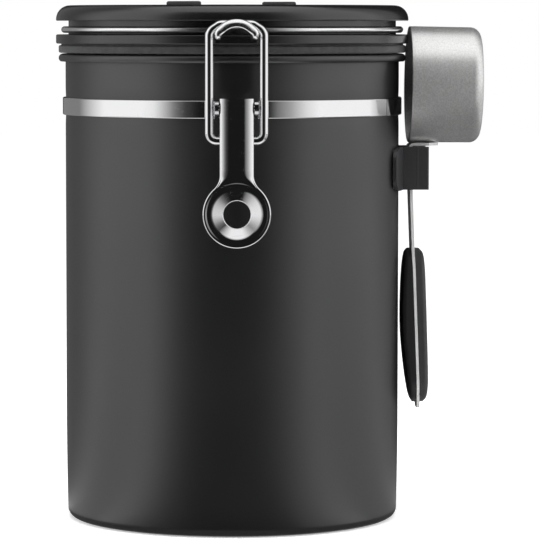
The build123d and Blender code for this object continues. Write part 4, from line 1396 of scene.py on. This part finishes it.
@dataclass
class LatchLever(Assembly):
    """The pressed lever: rolled channel, handle and ringed finger pad."""

    body = Body.LEVER
    front_u: float = 68.5
    half_width: float = 5.8
    top_z: float = 149.2
    back_depth: float = 6.2
    tail_z: float = 132.05
    tail_end_z: float = 125.0
    wall: float = 1.0
    roll_r: float = 1.25
    handle_depth: float = 2.9
    crown_turn: float = 28.0
    crown_depth: float = 1.15
    crown_power: float = 2.4
    flare_r: float = 6.0
    pad_z: float = 110.6
    pad_r: float = 11.5
    pad_roll_r: float = 0.6
    pad_depth: float = 1.3
    dish_depth: float = 0.25
    dish_width: float = 1.1
    dish_steps: int = 8
    toe_outer_r: float = 9.5
    toe_inner_r: float = 8.0
    toe_steps: int = 12
    crest_r: float = 4.84
    crest_lead: float = 0.2
    crest_power: float = 0.9
    crest_steps: int = 8
    ring_rise: float = 1.7
    hole_r: float = 4.3
    hole_drop: float = 0.2
    hole_start: float = 0.5
    hole_bevel: float = 0.12
    back_lands: Pair = (0.8, 1.2)
    lip_least: float = 0.8
    lip_bevel: Pair = (0.08, 0.25)
    inner_r: float = 0.4
    inner_steps: int = 4
    back_corner_r: float = 2.7
    corner_reach: float = 4.0
    side_step: float = 0.7
    side_gap: float = 0.5
    flare_lead: float = 1.5
    flare_steps: int = 14
    pad_steps: int = 60
    roll_steps: int = 9
    arc_steps: int = 40

    def flare(self) -> tuple[Pair, float]:
        """Place of the fillet between handle and pad.

        Returns:
            Its centre in x and z, and the angle in degrees at which it touches the pad.
        """
        out = self.half_width + self.flare_r
        up = math.sqrt((self.pad_r + self.flare_r) ** 2 - out**2)
        return (out, self.pad_z + up), math.degrees(math.atan2(up, out))

    def side_line(self) -> tuple[list[Pair], int]:
        """Right edge of the lever in x and z, from the top down to the pad's lowest point.

        Returns:
            The points and the number of the one where the pad's circle starts.
        """
        centre, touch = self.flare()
        points = []
        z = self.top_z
        while z > centre[1] + self.side_gap:
            points.append((self.half_width, z))
            z -= self.side_step
        points += arc(centre, self.flare_r, 180, 180 + touch, self.flare_steps)[:-1]
        first = len(points)
        return points + arc((0, self.pad_z), self.pad_r, touch, -90, self.pad_steps), first

    def into_pad(self, z: float) -> float:
        """Share of the way from the handle's form to the pad's form at a height.

        Args:
            z: The height.

        Returns:
            The share, from 0 to 1.
        """
        centre, touch = self.flare()
        high = centre[1] + self.flare_lead
        low = self.pad_z + self.pad_r * math.sin(math.radians(touch))
        return blend(0.0, 1.0, (high - z) / (high - low))

    def edge_depth(self, z: float) -> float:
        """How far the pressing's edge reaches back at a height.

        Args:
            z: The height.

        Returns:
            The distance behind the front face.
        """
        depth = blend(self.handle_depth, self.pad_depth, self.into_pad(z))
        into_tail = (z - self.tail_end_z) / (self.tail_z - self.tail_end_z)
        return blend(depth, self.back_depth, into_tail) if z > self.tail_end_z else depth

    def edge_section(self, z: float) -> list[Pair]:
        """Section over the rolled edge, round the lip and back inside, at a height.

        Args:
            z: The height.

        Returns:
            Each point's distance in from the edge and behind the front face.
        """
        share = self.into_pad(z)
        depth = self.edge_depth(z)
        roll = blend(self.roll_r, self.pad_roll_r, share)
        lean = math.radians(self.crown_turn) * (1 - share)
        drop = self.crown_depth * (1 - share)
        section = []
        for step in range(self.roll_steps + 1):
            turn = lean + (math.pi / 2 - lean) * step / self.roll_steps
            section.append((roll * (1 - math.sin(turn)), drop + roll * (math.cos(lean) - math.cos(turn))))
        lip = min(self.wall, self.lip_least + roll / 10)
        near, far = self.lip_bevel
        section += [(0.0, depth - far), (near, depth - near), (far, depth)]
        section += [(lip - far, depth), (lip - near, depth - near), (lip, depth - far)]
        for step in range(self.inner_steps + 1):
            angle = math.radians(90 * step / self.inner_steps)
            inward = lip + self.inner_r * (1 - math.cos(angle))
            section.append((inward, self.wall + self.inner_r * (1 - math.sin(angle))))
        return section

    def edge_rows(self, line: Sequence[Pair]) -> list[list[Triple]]:
        """Rows of points across the pressing's edge.

        Args:
            line: One side's edge in x and z, on the right.

        Returns:
            For each point of the line, the points of its cross-section in x, u and z.
        """
        rows = []
        last = len(line) - 1
        for index, (x, z) in enumerate(line):
            before = Vector(line[max(0, index - 1)])
            after = Vector(line[min(last, index + 1)])
            along = (after - before).normalized() if index < last else Vector((-1, 0))
            inward = Vector((along.y, -along.x))
            rows.append(
                [
                    (x + inward.x * a, self.front_u - b, self.trimmed(z + inward.y * a, b))
                    for a, b in self.edge_section(z)
                ]
            )
        return rows

    def trimmed(self, z: float, depth: float) -> float:
        """Height of a point near the lever's top, whose corners are rounded.

        Args:
            z: Height before rounding.
            depth: Distance behind the front face.

        Returns:
            The height after rounding.
        """
        front = max(0.0, self.wall - depth)
        back_r = self.back_corner_r
        back = min(back_r, max(0.0, depth - self.back_depth + back_r))
        drop = self.wall - math.sqrt(self.wall**2 - front**2)
        drop += back_r - math.sqrt(back_r**2 - back**2)
        return z - drop * blend(1.0, 0.0, (self.top_z - z) / self.corner_reach)

    def build(self) -> None:
        """Make the lever as one pressed sheet."""
        shape = Shape()
        line, first = self.side_line()
        right = self.edge_rows(line)
        left = [[(-x, u, z) for x, u, z in section] for section in right]
        whole = right + left[-2::-1]
        rows = [shape.row([(x, -u, z) for x, u, z in section]) for section in whole]
        shape.skin(rows)
        shape.face(rows[0])
        shape.face(rows[-1][::-1])
        front = [row[0] for row in rows]
        back = [row[-1] for row in rows]
        handle = self.handle_face(shape, front, first)
        shape.face([front[0], *handle[0], front[-1], back[-1], back[0]])
        self.pad(shape, front, back, first, handle[-1])
        self.put(shape.make("lever"), "lever_chrome", [LEVER_CHROME], ["latch_lever"])

    def handle_face(
        self, shape: Shape, front: Sequence[bmesh.types.BMVert], first: int
    ) -> list[list[bmesh.types.BMVert]]:
        """Make the crowned front of the handle, which flattens into the pad.

        Args:
            shape: The mesh in the making.
            front: Vertices along the inner edge of the front roll.
            first: Number of the first vertex that lies on the pad's circle.

        Returns:
            The new vertices of each row from right to left; the last row is on the pad's rim.
        """
        last = len(front) - 1 - first
        start, end = self.angle_of(front[first]), self.angle_of(front[last])
        rim = self.radius_of(front[first])
        angles = [start + (end - start) * index / self.arc_steps for index in range(1, self.arc_steps)]
        rows, inner_rows = [], []
        for index in range(first + 1):
            right, left = front[index], front[-1 - index]
            share = self.into_pad(right.co.z / MM)
            arched = share if index < first else 1.0
            drop = self.crown_depth * (1 - arched)
            inner = []
            for angle in angles:
                across = math.cos(angle) / math.cos(start)
                rise = arched * rim * (math.sin(angle) - math.sin(start))
                depth = drop * abs(across) ** self.crown_power
                inner.append((across * right.co.x / MM, depth - self.front_u, right.co.z / MM + rise))
            inner_rows.append(shape.row(inner))
            rows.append([right, *inner_rows[-1], left])
        shape.skin(rows)
        return inner_rows

    def pad(
        self,
        shape: Shape,
        front: Sequence[bmesh.types.BMVert],
        back: Sequence[bmesh.types.BMVert],
        first: int,
        front_arc: list[bmesh.types.BMVert],
    ) -> None:
        """Close the handle's back and make the dish, the finger ring and its hole.

        Args:
            shape: The mesh in the making.
            front: Vertices along the inner edge of the front roll.
            back: Vertices along the inner edge behind.
            first: Number of the first vertex that lies on the pad's circle.
            front_arc: Vertices on the pad's front rim over its top.
        """
        last = len(front) - 1 - first
        rim = self.radius_of(front[first])
        rim_back = self.radius_of(back[first])
        over = [self.angle_of(vertex) for vertex in front_arc]
        back_arc = shape.row([self.on_pad(rim_back, angle, self.wall) for angle in over])
        shape.face((list(back[: first + 1]) + back_arc + list(back[last:]))[::-1])
        loop = list(front[first : last + 1]) + front_arc[::-1]
        back_loop = list(back[first : last + 1]) + back_arc[::-1]
        rows = [loop]
        for radius, depth in self.dish_line(rim, rim_back):
            rows.append(shape.row([self.on_pad(radius, self.angle_of(v), depth) for v in loop]))
        rows.append(back_loop)
        shape.skin(rows, closed_rows=True)

    def dish_line(self, rim: float, rim_back: float) -> list[Pair]:
        """Radius and depth from the pad's rim over the finger ring and through the hole.

        Args:
            rim: Radius of the front rim.
            rim_back: Radius of the rim behind.

        Returns:
            The points.
        """
        line = []
        for step in range(1, self.dish_steps + 1):
            share = step / self.dish_steps
            line.append((rim - self.dish_width * share, blend(0.0, self.dish_depth, share)))
        base = self.dish_depth
        middle_r = (self.toe_outer_r + self.toe_inner_r) / 2
        slope = (self.ring_rise + base) / (middle_r - self.crest_r)
        foot = Vector((self.toe_outer_r, base))
        bend = Vector((middle_r, base))
        head = Vector((self.toe_inner_r, base - slope * (middle_r - self.toe_inner_r)))
        for step in range(self.toe_steps + 1):
            share = step / self.toe_steps
            line.append(tuple(foot.lerp(bend, share).lerp(bend.lerp(head, share), share)))
        line.append((self.crest_r + self.crest_lead, self.crest_lead * slope - self.ring_rise))
        line.append((self.crest_r, -self.ring_rise))
        for step in range(1, self.crest_steps + 1):
            share = step / self.crest_steps
            angle = share * math.pi / 2
            r = self.crest_r - (self.crest_r - self.hole_r) * math.sin(angle)
            line.append((r, self.hole_drop * share - self.ring_rise * math.cos(angle) ** self.crest_power))
        line += [(self.hole_r, self.hole_start), (self.hole_r, self.wall - self.hole_bevel)]
        near, far = self.back_lands
        hole_side = [(self.hole_r + self.hole_bevel, self.wall), (self.hole_r + near, self.wall)]
        return [*line, *hole_side, (rim_back - far, self.wall)]

    def on_pad(self, radius: float, angle: float, depth: float) -> Triple:
        """Point on the pad by radius, angle in radians and depth behind the front."""
        x = radius * math.cos(angle)
        return (x, depth - self.front_u, self.pad_z + radius * math.sin(angle))

    def angle_of(self, vertex: bmesh.types.BMVert) -> float:
        """Angle of a vertex about the pad's centre, kept between the top's two sides."""
        angle = math.atan2(vertex.co.z / MM - self.pad_z, vertex.co.x / MM)
        return angle + 2 * math.pi if angle < -math.pi / 2 - ANGLE_SLACK else angle

    def radius_of(self, vertex: bmesh.types.BMVert) -> float:
        """Distance of a vertex from the pad's centre."""
        return math.hypot(vertex.co.x / MM, vertex.co.z / MM - self.pad_z)


@dataclass
class ValveAndDial(Assembly):
    """The valve's disc, the date dial and the numbers of its scale."""

    body = Body.LID
    dressed = {"valve_disc": DISC_SILICONE, "date_dial": DIAL_BLACK}
    top_z: float = 180.65
    number_r: float = 37.4
    number_height: float = 3.1
    number_scale: float = 1.35
    number_steps: int = 3
    days: int = 31
    tick_r: Pair = (31.2, 33.0)
    tick_width: float = 0.35
    raise_by: float = 0.04
    pointer_r: float = 28.85
    pointer_gap: float = 0.4
    pointer_length: float = 4.1
    pointer_half: float = 1.7
    pointer_z: float = 180.97
    pointer_radii: Triple = (0.2, 0.3, 0.3)
    pointer_steps: int = 4
    dial_azimuth: float = -41.0

    def build(self) -> None:
        """Dress the moving pieces and print the scale."""
        self.dress_nodes()
        self.numbers()
        self.ticks()
        self.pointer()

    def azimuth(self, day: float) -> float:
        """Azimuth of a day on the scale, in radians."""
        return math.radians(self.dial_azimuth - FULL_TURN * (day - 1) / self.days)

    def numbers(self) -> None:
        """Print the days round the scale, upright as seen from outside."""
        joined = bmesh.new()
        for day in range(1, self.days + 1):
            text = bpy.data.curves.new("day", "FONT")
            text.body = str(day)
            text.size = self.number_height * MM * self.number_scale
            text.align_x = "CENTER"
            text.align_y = "CENTER"
            text.extrude = self.raise_by * MM / 2
            text.resolution_u = self.number_steps
            holder = bpy.data.objects.new("day", text)
            printed = bpy.data.meshes.new_from_object(holder)
            angle = self.azimuth(day)
            spot = Vector((self.number_r * math.cos(angle), self.number_r * math.sin(angle), self.top_z))
            turn = Matrix.Rotation(angle + math.pi / 2, 4, "Z")
            printed.transform(Matrix.Translation(spot * MM) @ turn)
            joined.from_mesh(printed)
            bpy.data.objects.remove(holder)
            bpy.data.meshes.remove(printed)
            bpy.data.curves.remove(text)
        data = bpy.data.meshes.new("scale_numbers")
        joined.to_mesh(data)
        joined.free()
        piece = bpy.data.objects.new("scale_numbers", data)
        bpy.context.scene.collection.objects.link(piece)
        self.put(piece, "scale_plastic", [PALE_INK])

    def ticks(self) -> None:
        """Print a short line at each day."""
        shape = Shape()
        near, far = self.tick_r
        low = Vector((0, 0, self.top_z))
        high = Vector((0, 0, self.top_z + self.raise_by / 2))
        for day in range(1, self.days + 1):
            angle = self.azimuth(day)
            out = Vector((math.cos(angle), math.sin(angle), 0))
            side = Vector((-out.y, out.x, 0)) * self.tick_width / 2
            foot = [out * near - side, out * far - side, out * far + side, out * near + side]
            shape.slab([spot + low for spot in foot], [spot + high for spot in foot])
        self.put(shape.make("scale_ticks"), "scale_plastic", [PALE_INK])

    def pointer(self) -> None:
        """Paint the dial's pointer."""
        turn = Matrix.Rotation(math.radians(self.dial_azimuth), 4, "Z")
        inner = self.pointer_r - self.pointer_length
        corners = [
            (self.pointer_r - self.pointer_gap, 0),
            (inner, self.pointer_half),
            (inner, -self.pointer_half),
        ]
        outline = rounded(corners, dict(enumerate(self.pointer_radii)), self.pointer_steps)
        low, high = self.pointer_z, self.pointer_z + self.raise_by / 2
        shape = Shape()
        shape.slab(*([turn @ Vector((x, y, z)) for x, y in outline] for z in (low, high)))
        self.put(shape.make("pointer_paint"), "dial_plastic", [PALE_INK], body=Body.DIAL)


@dataclass
class Scoop(Assembly):
    """The measuring scoop: bowl, strip and two grip halves."""

    body = Body.SCOOP
    dressed = {"scoop_strip": STRIP_STEEL, "grip_rivets": PIN_STEEL}
    axis_z: float = 152.8
    rim_x: float = 62.3
    tilt: float = 0.65
    bowl_r: float = 20.5
    taper: float = 0.2
    depth: float = 25.6
    crown: float = 0.5
    crown_bend: Triple = (0.45, 0.2, 60.0)
    corner_r: float = 3.6
    corner_steps: int = 14
    rim_steps: int = 8
    bowl_wall: float = 0.7
    bowl_steps: int = 160
    strip_x: float = 62.75
    strip_z: float = 123.4
    lean: float = 2.1
    strip_half: float = 0.5
    grip_fit: float = 0.05
    grip_top: float = 94.9
    grip_bottom: float = 40.0
    grip_half_width: float = 8.5
    grip_edge_r: float = 1.6
    grip_crown: float = 0.06
    grip_end: float = 0.0005
    grip_rows: int = 90
    grip_columns: int = 36
    inner_thickness: float = 4.45
    outer_thickness: float = 3.55
    tang_half: float = 0.46
    tang_stand: float = 0.12
    tang_steps: int = 24
    inner_shares: tuple[Pair, ...] = (
        (0.0, 0.30), (0.03, 0.52), (0.17, 0.76), (0.33, 0.92), (0.48, 1.0), (0.60, 0.98), (0.75, 0.86),
        (0.86, 0.72), (0.965, 0.52), (1.0, 0.3),
    )
    outer_shares: tuple[Pair, ...] = (
        (0.0, 0.5), (0.03, 0.86), (0.12, 0.98), (0.30, 1.0), (0.55, 0.99), (0.78, 0.96), (0.9, 0.88),
        (0.965, 0.72), (1.0, 0.4),
    )

    def build(self) -> None:
        """Make the bowl and the grips and dress the strip."""
        self.bowl()
        self.tang()
        self.grip("grip_front", self.outer_shares, self.outer_thickness, 1, GRIP_GRAINED, "grip_outer")
        self.grip("grip_back", self.inner_shares, self.inner_thickness, -1, GRIP_BLACK, "grip_inner")
        self.dress_nodes()

    def bowl_line(self, inset: float) -> list[Pair]:
        """Outline of the bowl in radius and depth, without the rim.

        Args:
            inset: Distance in from the outer face.

        Returns:
            Points from near the rim to the axis.
        """
        rim = self.bowl_r - inset
        end = rim - self.taper
        depth = self.depth - inset
        place, sink, bend_r = self.crown_bend
        bend = (end * place, depth - self.crown * sink)
        line = [(0.0, depth), bend, (end, depth - self.crown), (rim, 0.0)]
        soft = rounded(line, {1: bend_r, 2: self.corner_r - inset}, self.corner_steps)
        return soft[:-1][::-1]

    def bowl(self) -> None:
        """Make the drawn bowl with a rounded rim."""
        lip = self.bowl_wall / 2
        rim = arc((self.bowl_r - lip, lip), lip, 180, FULL_TURN, self.rim_steps)
        profile = self.bowl_line(self.bowl_wall)[::-1] + rim + self.bowl_line(0.0)
        turn = Matrix.Rotation(math.radians(90 + self.tilt), 4, "Y")
        place = Matrix.Translation((self.rim_x, 0, self.axis_z)) @ turn
        shape = Shape()
        shape.lathe(profile, self.bowl_steps, place=place)
        self.put(shape.make("bowl"), "scoop_steel", [BOWL_STEEL], ["scoop_bowl"])

    def middle_x(self, z: float) -> float:
        """Middle of the leaning strip at a height."""
        return self.strip_x + (self.strip_z - z) * math.tan(math.radians(self.lean))

    def tang(self) -> None:
        """Make the steel between the grip halves, whose edge shows all round them."""
        half = self.grip_half_width + self.tang_stand
        top = self.grip_top - half + self.tang_stand
        bottom = self.grip_bottom + half - self.tang_stand
        outline = arc((0, top), half, 180, 0, self.tang_steps)
        outline += arc((0, bottom), half, 0, -180, self.tang_steps)
        sides = (-self.tang_half, self.tang_half)
        shape = Shape()
        shape.slab(*([(self.middle_x(z) + side, y, z) for y, z in outline] for side in sides))
        self.put(shape.make("grip_tang"), "scoop_steel", [STRIP_STEEL])

    def thickness_at(self, shares: Sequence[Pair], along: float) -> float:
        """Share of the grip's full thickness at a place along it.

        Args:
            shares: Known places and shares.
            along: Share of the grip's length from its top.

        Returns:
            The share of the thickness.
        """
        places = [place for place, _ in shares]
        index = max(1, next((i for i, place in enumerate(places) if place >= along), len(places) - 1))
        before = shares[max(0, index - 2)]
        low, high = shares[index - 1], shares[index]
        after = shares[min(len(shares) - 1, index + 1)]
        span = high[0] - low[0]
        t = (along - low[0]) / span
        slope_low = (high[1] - before[1]) / (high[0] - before[0]) * span
        slope_high = (after[1] - low[1]) / (after[0] - low[0]) * span
        h1, h2 = 2 * t**3 - 3 * t**2 + 1, t**3 - 2 * t**2 + t
        h3, h4 = 3 * t**2 - 2 * t**3, t**3 - t**2
        return h1 * low[1] + h2 * slope_low + h3 * high[1] + h4 * slope_high

    def grip(
        self, name: str, shares: Sequence[Pair], thickness: float, side: int, finish: Finish, node: str
    ) -> None:
        """Make one moulded grip half with soft edges.

        Args:
            name: The piece's name.
            shares: Places along the grip and their share of the thickness.
            thickness: Full thickness.
            side: 1 away from the canister, -1 towards it.
            finish: Its finish.
            node: The CAD node that it stands for.
        """
        length = self.grip_top - self.grip_bottom
        half = self.grip_half_width
        front, back = [], []
        for index in range(self.grip_rows + 1):
            along = (1 - math.cos(math.pi * index / self.grip_rows)) / 2
            along = min(1 - self.grip_end, max(self.grip_end, along))
            z = self.grip_top - along * length
            from_end = min(along, 1 - along) * length
            width = half if from_end >= half else math.sqrt(half**2 - (half - from_end) ** 2)
            height = thickness * self.thickness_at(shares, along)
            soft = min(self.grip_edge_r, height)
            x = self.middle_x(z) + side * (self.strip_half + self.grip_fit)
            front.append([])
            back.append([])
            for column in range(self.grip_columns + 1):
                across = -math.cos(math.pi * column / self.grip_columns)
                short = max(0.0, soft - width * (1 - abs(across)))
                rise = height - soft + math.sqrt(max(0.0, soft**2 - short**2))
                crowned = rise * (1 - self.grip_crown * across**2)
                front[-1].append((x + side * crowned, across * width, z))
                back[-1].append((x, across * width, z))
        shape = Shape()
        faces = [[shape.row(row) for row in half_rows] for half_rows in (front, back)]
        for rows in faces:
            shape.skin(rows)
        borders = [(rows[0], rows[-1], [row[0] for row in rows], [row[-1] for row in rows]) for rows in faces]
        for border in zip(*borders):
            shape.skin(border)
        self.put(shape.make(name), "grip_plastic", [finish], [node])


@dataclass
class ScoopClip(Assembly):
    """The plastic clip that holds the scoop."""

    dressed = {"scoop_clip": CLIP_GREY, "clip_pad": PAD_FOAM}
    edge_r: float = 0.5
    edge_steps: int = 3
    edge_angle: float = 50.0

    def build(self) -> None:
        """Dress the clip and its pad and soften the clip's moulded edges."""
        self.dress_nodes()
        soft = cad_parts["scoop_clip"].modifiers.new("soft_edges", "BEVEL")
        soft.width = self.edge_r * MM
        soft.segments = self.edge_steps
        soft.limit_method = "ANGLE"
        soft.angle_limit = math.radians(self.edge_angle)


@dataclass(frozen=True)
class Lamp:
    """A soft lamp: its place and size in metres and its power in watts."""

    name: str
    place: Triple
    size: Pair
    power: float


@dataclass
class Studio:
    """Floor, cards, lamps and camera."""

    camera_distance: float = 1.2
    camera_azimuth: float = -1.3
    camera_height: float = 0.175
    camera_pitch: float = 4.204
    lens: float = 226.1
    sensor: float = 36.0
    clip: Pair = (0.05, 20.0)
    shift_x: float = 0.07
    shift_y: float = 0.0011
    lamps: tuple[Lamp, ...] = (
        Lamp("lamp_top", (0.0, -0.25, 1.3), (0.9, 0.9), 9.0),
        Lamp("lamp_left", (-1.0, -0.5, 0.5), (0.6, 0.8), 5.0),
        Lamp("lamp_right", (1.0, -0.35, 0.45), (0.7, 0.8), 6.0),
    )
    lamp_aim: Triple = (0.0, 0.0, 0.09)
    floor_reach: float = 4.0
    floor_drop: float = 0.0002
    floor_colour: float = 0.9
    floor_glow: float = 0.35
    sky_light: float = 0.75
    card_radius: float = 1.5
    card_height: float = 2.4
    card_lift: float = 0.001
    card_step: float = 2.0
    least_steps: int = 8
    apron_radius: float = 0.062
    steep_view: Pair = (0.2, 0.42)
    veil_view: Pair = (0.4, 0.7)
    front_reach: float = 61.0
    front_stops: tuple[Pair, ...] = (
        (-62, 1.0), (-54, 0.9), (-46, 0.5), (-39, 0.17), (-32, 0.05), (-23, 0.01), (23, 0.01),
        (29, 0.2), (38, 0.4), (49, 0.8), (58, 1.0),
    )
    left_back_stops: tuple[Pair, ...] = ((-188, 0.015), (-168, 0.015), (-164, 0.22), (-125, 0.22), (-96, 1.0))
    right_back_stops: tuple[Pair, ...] = ((104, 0.95), (118, 0.4), (134, 0.36), (138, 0.015), (172, 0.015))
    left_foot_stops: tuple[Pair, ...] = ((-96, 0.58), (-62, 0.58))
    right_foot_stops: tuple[Pair, ...] = ((58, 0.45), (104, 0.45))
    # the dark card under the scoop, which paints shade into the reflection on the underside of the bowl
    scoop_card_box: tuple[float, float, float, float] = (0.056, 0.14, -0.12, 0.1)
    scoop_card_height: float = 0.1
    scoop_shade_tone: float = 0.08
    # the dark ring under the foot, which paints shade into the reflection on the foot's rounded edge
    rim_radii: Pair = (0.0568, 0.067)
    rim_lift: float = 0.0002
    rim_shade_tone: float = 0.14

    def build(self) -> None:
        """Set the stage."""
        self.floor()
        self.sky()
        self.cards()
        for lamp in self.lamps:
            self.hang(lamp)
        self.camera()
        bpy.context.scene.view_settings.view_transform = "Standard"

    def blank(self, made: bpy.types.Object, name: str) -> Wiring:
        """Give a piece of the stage an empty material.

        Args:
            made: The piece.
            name: The material's name.

        Returns:
            The wiring of the material.
        """
        material = bpy.data.materials.new(name)
        material.use_nodes = True
        material.node_tree.nodes.clear()
        made.data.materials.append(material)
        return Wiring(material.node_tree)

    def plainly_seen(self, wiring: Wiring) -> bpy.types.NodeSocket:
        """Tell rays from the camera, a reflection or a clear piece from all others.

        Args:
            wiring: The wiring that asks.

        Returns:
            A socket that is 1 for those rays and 0 for the others.
        """
        path = wiring.node("ShaderNodeLightPath").outputs
        seen = wiring.calc("MAXIMUM", path["Is Camera Ray"], path["Is Glossy Ray"])
        return wiring.calc("MAXIMUM", seen, path["Is Transmission Ray"])

    def floor(self) -> None:
        """Lay a plain pale floor that is white to the camera and keeps the shadow."""
        size = self.floor_reach / MM
        shape = Shape()
        shape.face(shape.row([(-size, -size, 0), (size, -size, 0), (size, size, 0), (-size, size, 0)]))
        made = shape.make("floor")
        made.location.z = -self.floor_drop
        wiring = self.blank(made, "floor_white")
        colour = (*(self.floor_colour,) * 3, 1.0)
        matte = wiring.node("ShaderNodeBsdfDiffuse", values={"Color": colour})
        glow = wiring.node("ShaderNodeEmission")
        shine = wiring.calc("MULTIPLY", self.plainly_seen(wiring), self.floor_glow)
        wiring.join(shine, glow.inputs["Strength"])
        both = wiring.node("ShaderNodeAddShader")
        wiring.join(matte.outputs[0], both.inputs[0])
        wiring.join(glow.outputs[0], both.inputs[1])
        out = wiring.node("ShaderNodeOutputMaterial")
        wiring.join(both.outputs[0], out.inputs["Surface"])

    def sky(self) -> None:
        """Make the world white to the camera and to reflections, and softer as a light."""
        world = bpy.data.worlds.new("studio")
        world.use_nodes = True
        bpy.context.scene.world = world
        wiring = Wiring(world.node_tree)
        back = world.node_tree.nodes["Background"]
        back.inputs["Color"].default_value = (1.0, 1.0, 1.0, 1.0)
        light = wiring.stretched(self.plainly_seen(wiring), (0.0, 1.0), (self.sky_light, 1.0))
        wiring.join(light, back.inputs["Strength"])

    def card(self, name: str, stops: Sequence[Pair], stands: bool = True) -> None:
        """Stand a curved card with a foot on the floor, seen only in reflections.

        Args:
            name: The card's name.
            stops: Azimuths from the front in degrees, towards the right, and the card's tone there.
            stands: Whether it rises from its foot's far edge.
        """
        shape = Shape()
        start, end = stops[0][0], stops[-1][0]
        steps = max(self.least_steps, round((end - start) / self.card_step))
        lift = self.card_lift / MM
        reach = self.card_radius / MM
        profile = [(self.apron_radius / MM, lift), (reach, lift)]
        if stands:
            profile.append((reach, self.card_height / MM))
        shape.lathe(profile, steps, (start - 90, end - 90), outline=False)
        made = shape.make(name)
        tones = made.data.attributes.new("tone", "FLOAT", "POINT")
        nearness = made.data.attributes.new("near", "FLOAT", "POINT")
        middle = (start + end) / 2
        for vertex, tone, near in zip(made.data.vertices, tones.data, nearness.data):
            azimuth = math.degrees(math.atan2(vertex.co.x, -vertex.co.y))
            azimuth += FULL_TURN * round((middle - azimuth) / FULL_TURN)
            tone.value = between(stops, azimuth)
            inside = vertex.co.xy.length < self.card_radius / 2
            near.value = 1.0 if inside and abs(azimuth) < self.front_reach else 0.0
        self.reflected_only(made)

    def reflected_only(self, made: bpy.types.Object, veiled: bool = False) -> None:
        """Let a card glow by its tone and hide it from all but reflections.

        Close to the object the card's foot is as white as the floor where it is seen from steeply above.

        Args:
            made: The card, with a tone at each of its points.
            veiled: Whether it is clear where it is seen at a shallow angle.
        """
        wiring = self.blank(made, made.name)
        flat = wiring.node("ShaderNodeEmission")
        tone = wiring.node("ShaderNodeAttribute", {"attribute_name": "tone"}).outputs["Fac"]
        near = wiring.node("ShaderNodeAttribute", {"attribute_name": "near"}).outputs["Fac"]
        facing = wiring.node("ShaderNodeLayerWeight", values={"Blend": 0.5}).outputs["Facing"]
        steep = wiring.calc("MULTIPLY", wiring.stretched(facing, self.steep_view, (1.0, 0.0)), near)
        missing = wiring.calc("SUBTRACT", 1.0, tone)
        glow = wiring.calc("ADD", tone, wiring.calc("MULTIPLY", missing, steep))
        wiring.join(glow, flat.inputs["Strength"])
        veil = wiring.node("ShaderNodeMixShader", values={"Fac": 0.0})
        if veiled:
            wiring.join(wiring.stretched(facing, self.veil_view, (0.0, 1.0)), veil.inputs["Fac"])
        wiring.join(flat.outputs[0], veil.inputs[1])
        wiring.join(wiring.node("ShaderNodeBsdfTransparent").outputs[0], veil.inputs[2])
        out = wiring.node("ShaderNodeOutputMaterial")
        wiring.join(veil.outputs[0], out.inputs["Surface"])
        made.visible_camera = False
        made.visible_diffuse = False
        made.visible_shadow = False
        made.visible_transmission = False

    def plain_card(self, shape: Shape, name: str, tone: float, veiled: bool = False) -> None:
        """Finish a card of one tone.

        Args:
            shape: Its mesh.
            name: Its name.
            tone: Its tone.
            veiled: Whether it is clear where it is seen at a shallow angle.
        """
        made = shape.make(name)
        tones = made.data.attributes.new("tone", "FLOAT", "POINT")
        for point in tones.data:
            point.value = tone
        self.reflected_only(made, veiled)

    def scoop_card(self) -> None:
        """Hold a dark card below the front of the scoop, seen only in reflections: painted shade on the
        underside of its bowl.
        """
        near, far, front, back = self.scoop_card_box
        height = self.scoop_card_height / MM
        corners = [(near, front), (far, front), (far, back), (near, back)]
        shape = Shape()
        shape.face(shape.row([(x / MM, y / MM, height) for x, y in corners]))
        self.plain_card(shape, "card_scoop", self.scoop_shade_tone, veiled=True)

    def rim_card(self) -> None:
        """Lay a dark ring below the canister's rounded foot, seen only in reflections: painted shade on the
        foot's rounded edge, where the floor lies in the canister's shadow.
        """
        shape = Shape()
        shape.lathe([(radius / MM, self.rim_lift / MM) for radius in self.rim_radii], 90, outline=False)
        self.plain_card(shape, "card_rim", self.rim_shade_tone)

    def cards(self) -> None:
        """Stand the dark cards, whose soft edges border the white at both sides."""
        self.rim_card()
        self.card("card_front", self.front_stops)
        self.card("card_left_back", self.left_back_stops)
        self.card("card_right_back", self.right_back_stops)
        self.card("card_foot_left", self.left_foot_stops, stands=False)
        self.card("card_foot_right", self.right_foot_stops, stands=False)
        self.scoop_card()

    def hang(self, lamp: Lamp) -> None:
        """Hang a lamp that looks at the object and isn't reflected in it.

        Args:
            lamp: The lamp.
        """
        light = bpy.data.lights.new(lamp.name, "AREA")
        light.shape = "RECTANGLE"
        light.size, light.size_y = lamp.size
        light.energy = lamp.power
        made = bpy.data.objects.new(lamp.name, light)
        bpy.context.scene.collection.objects.link(made)
        made.location = lamp.place
        aim = Vector(self.lamp_aim) - Vector(lamp.place)
        made.rotation_euler = aim.to_track_quat("-Z", "Y").to_euler()
        made.visible_glossy = False

    def camera(self) -> None:
        """Put the camera at the photograph's place."""
        data = bpy.data.cameras.new("camera")
        data.lens = self.lens
        data.sensor_width = self.sensor
        data.shift_x = self.shift_x
        data.shift_y = self.shift_y
        data.clip_start, data.clip_end = self.clip
        made = bpy.data.objects.new("camera", data)
        bpy.context.scene.collection.objects.link(made)
        turn = math.radians(self.camera_azimuth)
        made.location = (
            self.camera_distance * math.sin(turn),
            -self.camera_distance * math.cos(turn),
            self.camera_height,
        )
        made.rotation_euler = (math.radians(90 - self.camera_pitch), 0.0, turn)
        bpy.context.scene.camera = made


def main() -> None:
    """Build every sub-assembly in order."""
    logging.basicConfig(level=logging.INFO, format="%(message)s")
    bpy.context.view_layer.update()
    Studio().build()
    CanisterCup().build()
    LidParts().build()
    ClampWire().build()
    LatchLink().build()
    LatchLever().build()
    ValveAndDial().build()
    Scoop().build()
    ScoopClip().build()


if __name__ == "__main__":
    main()
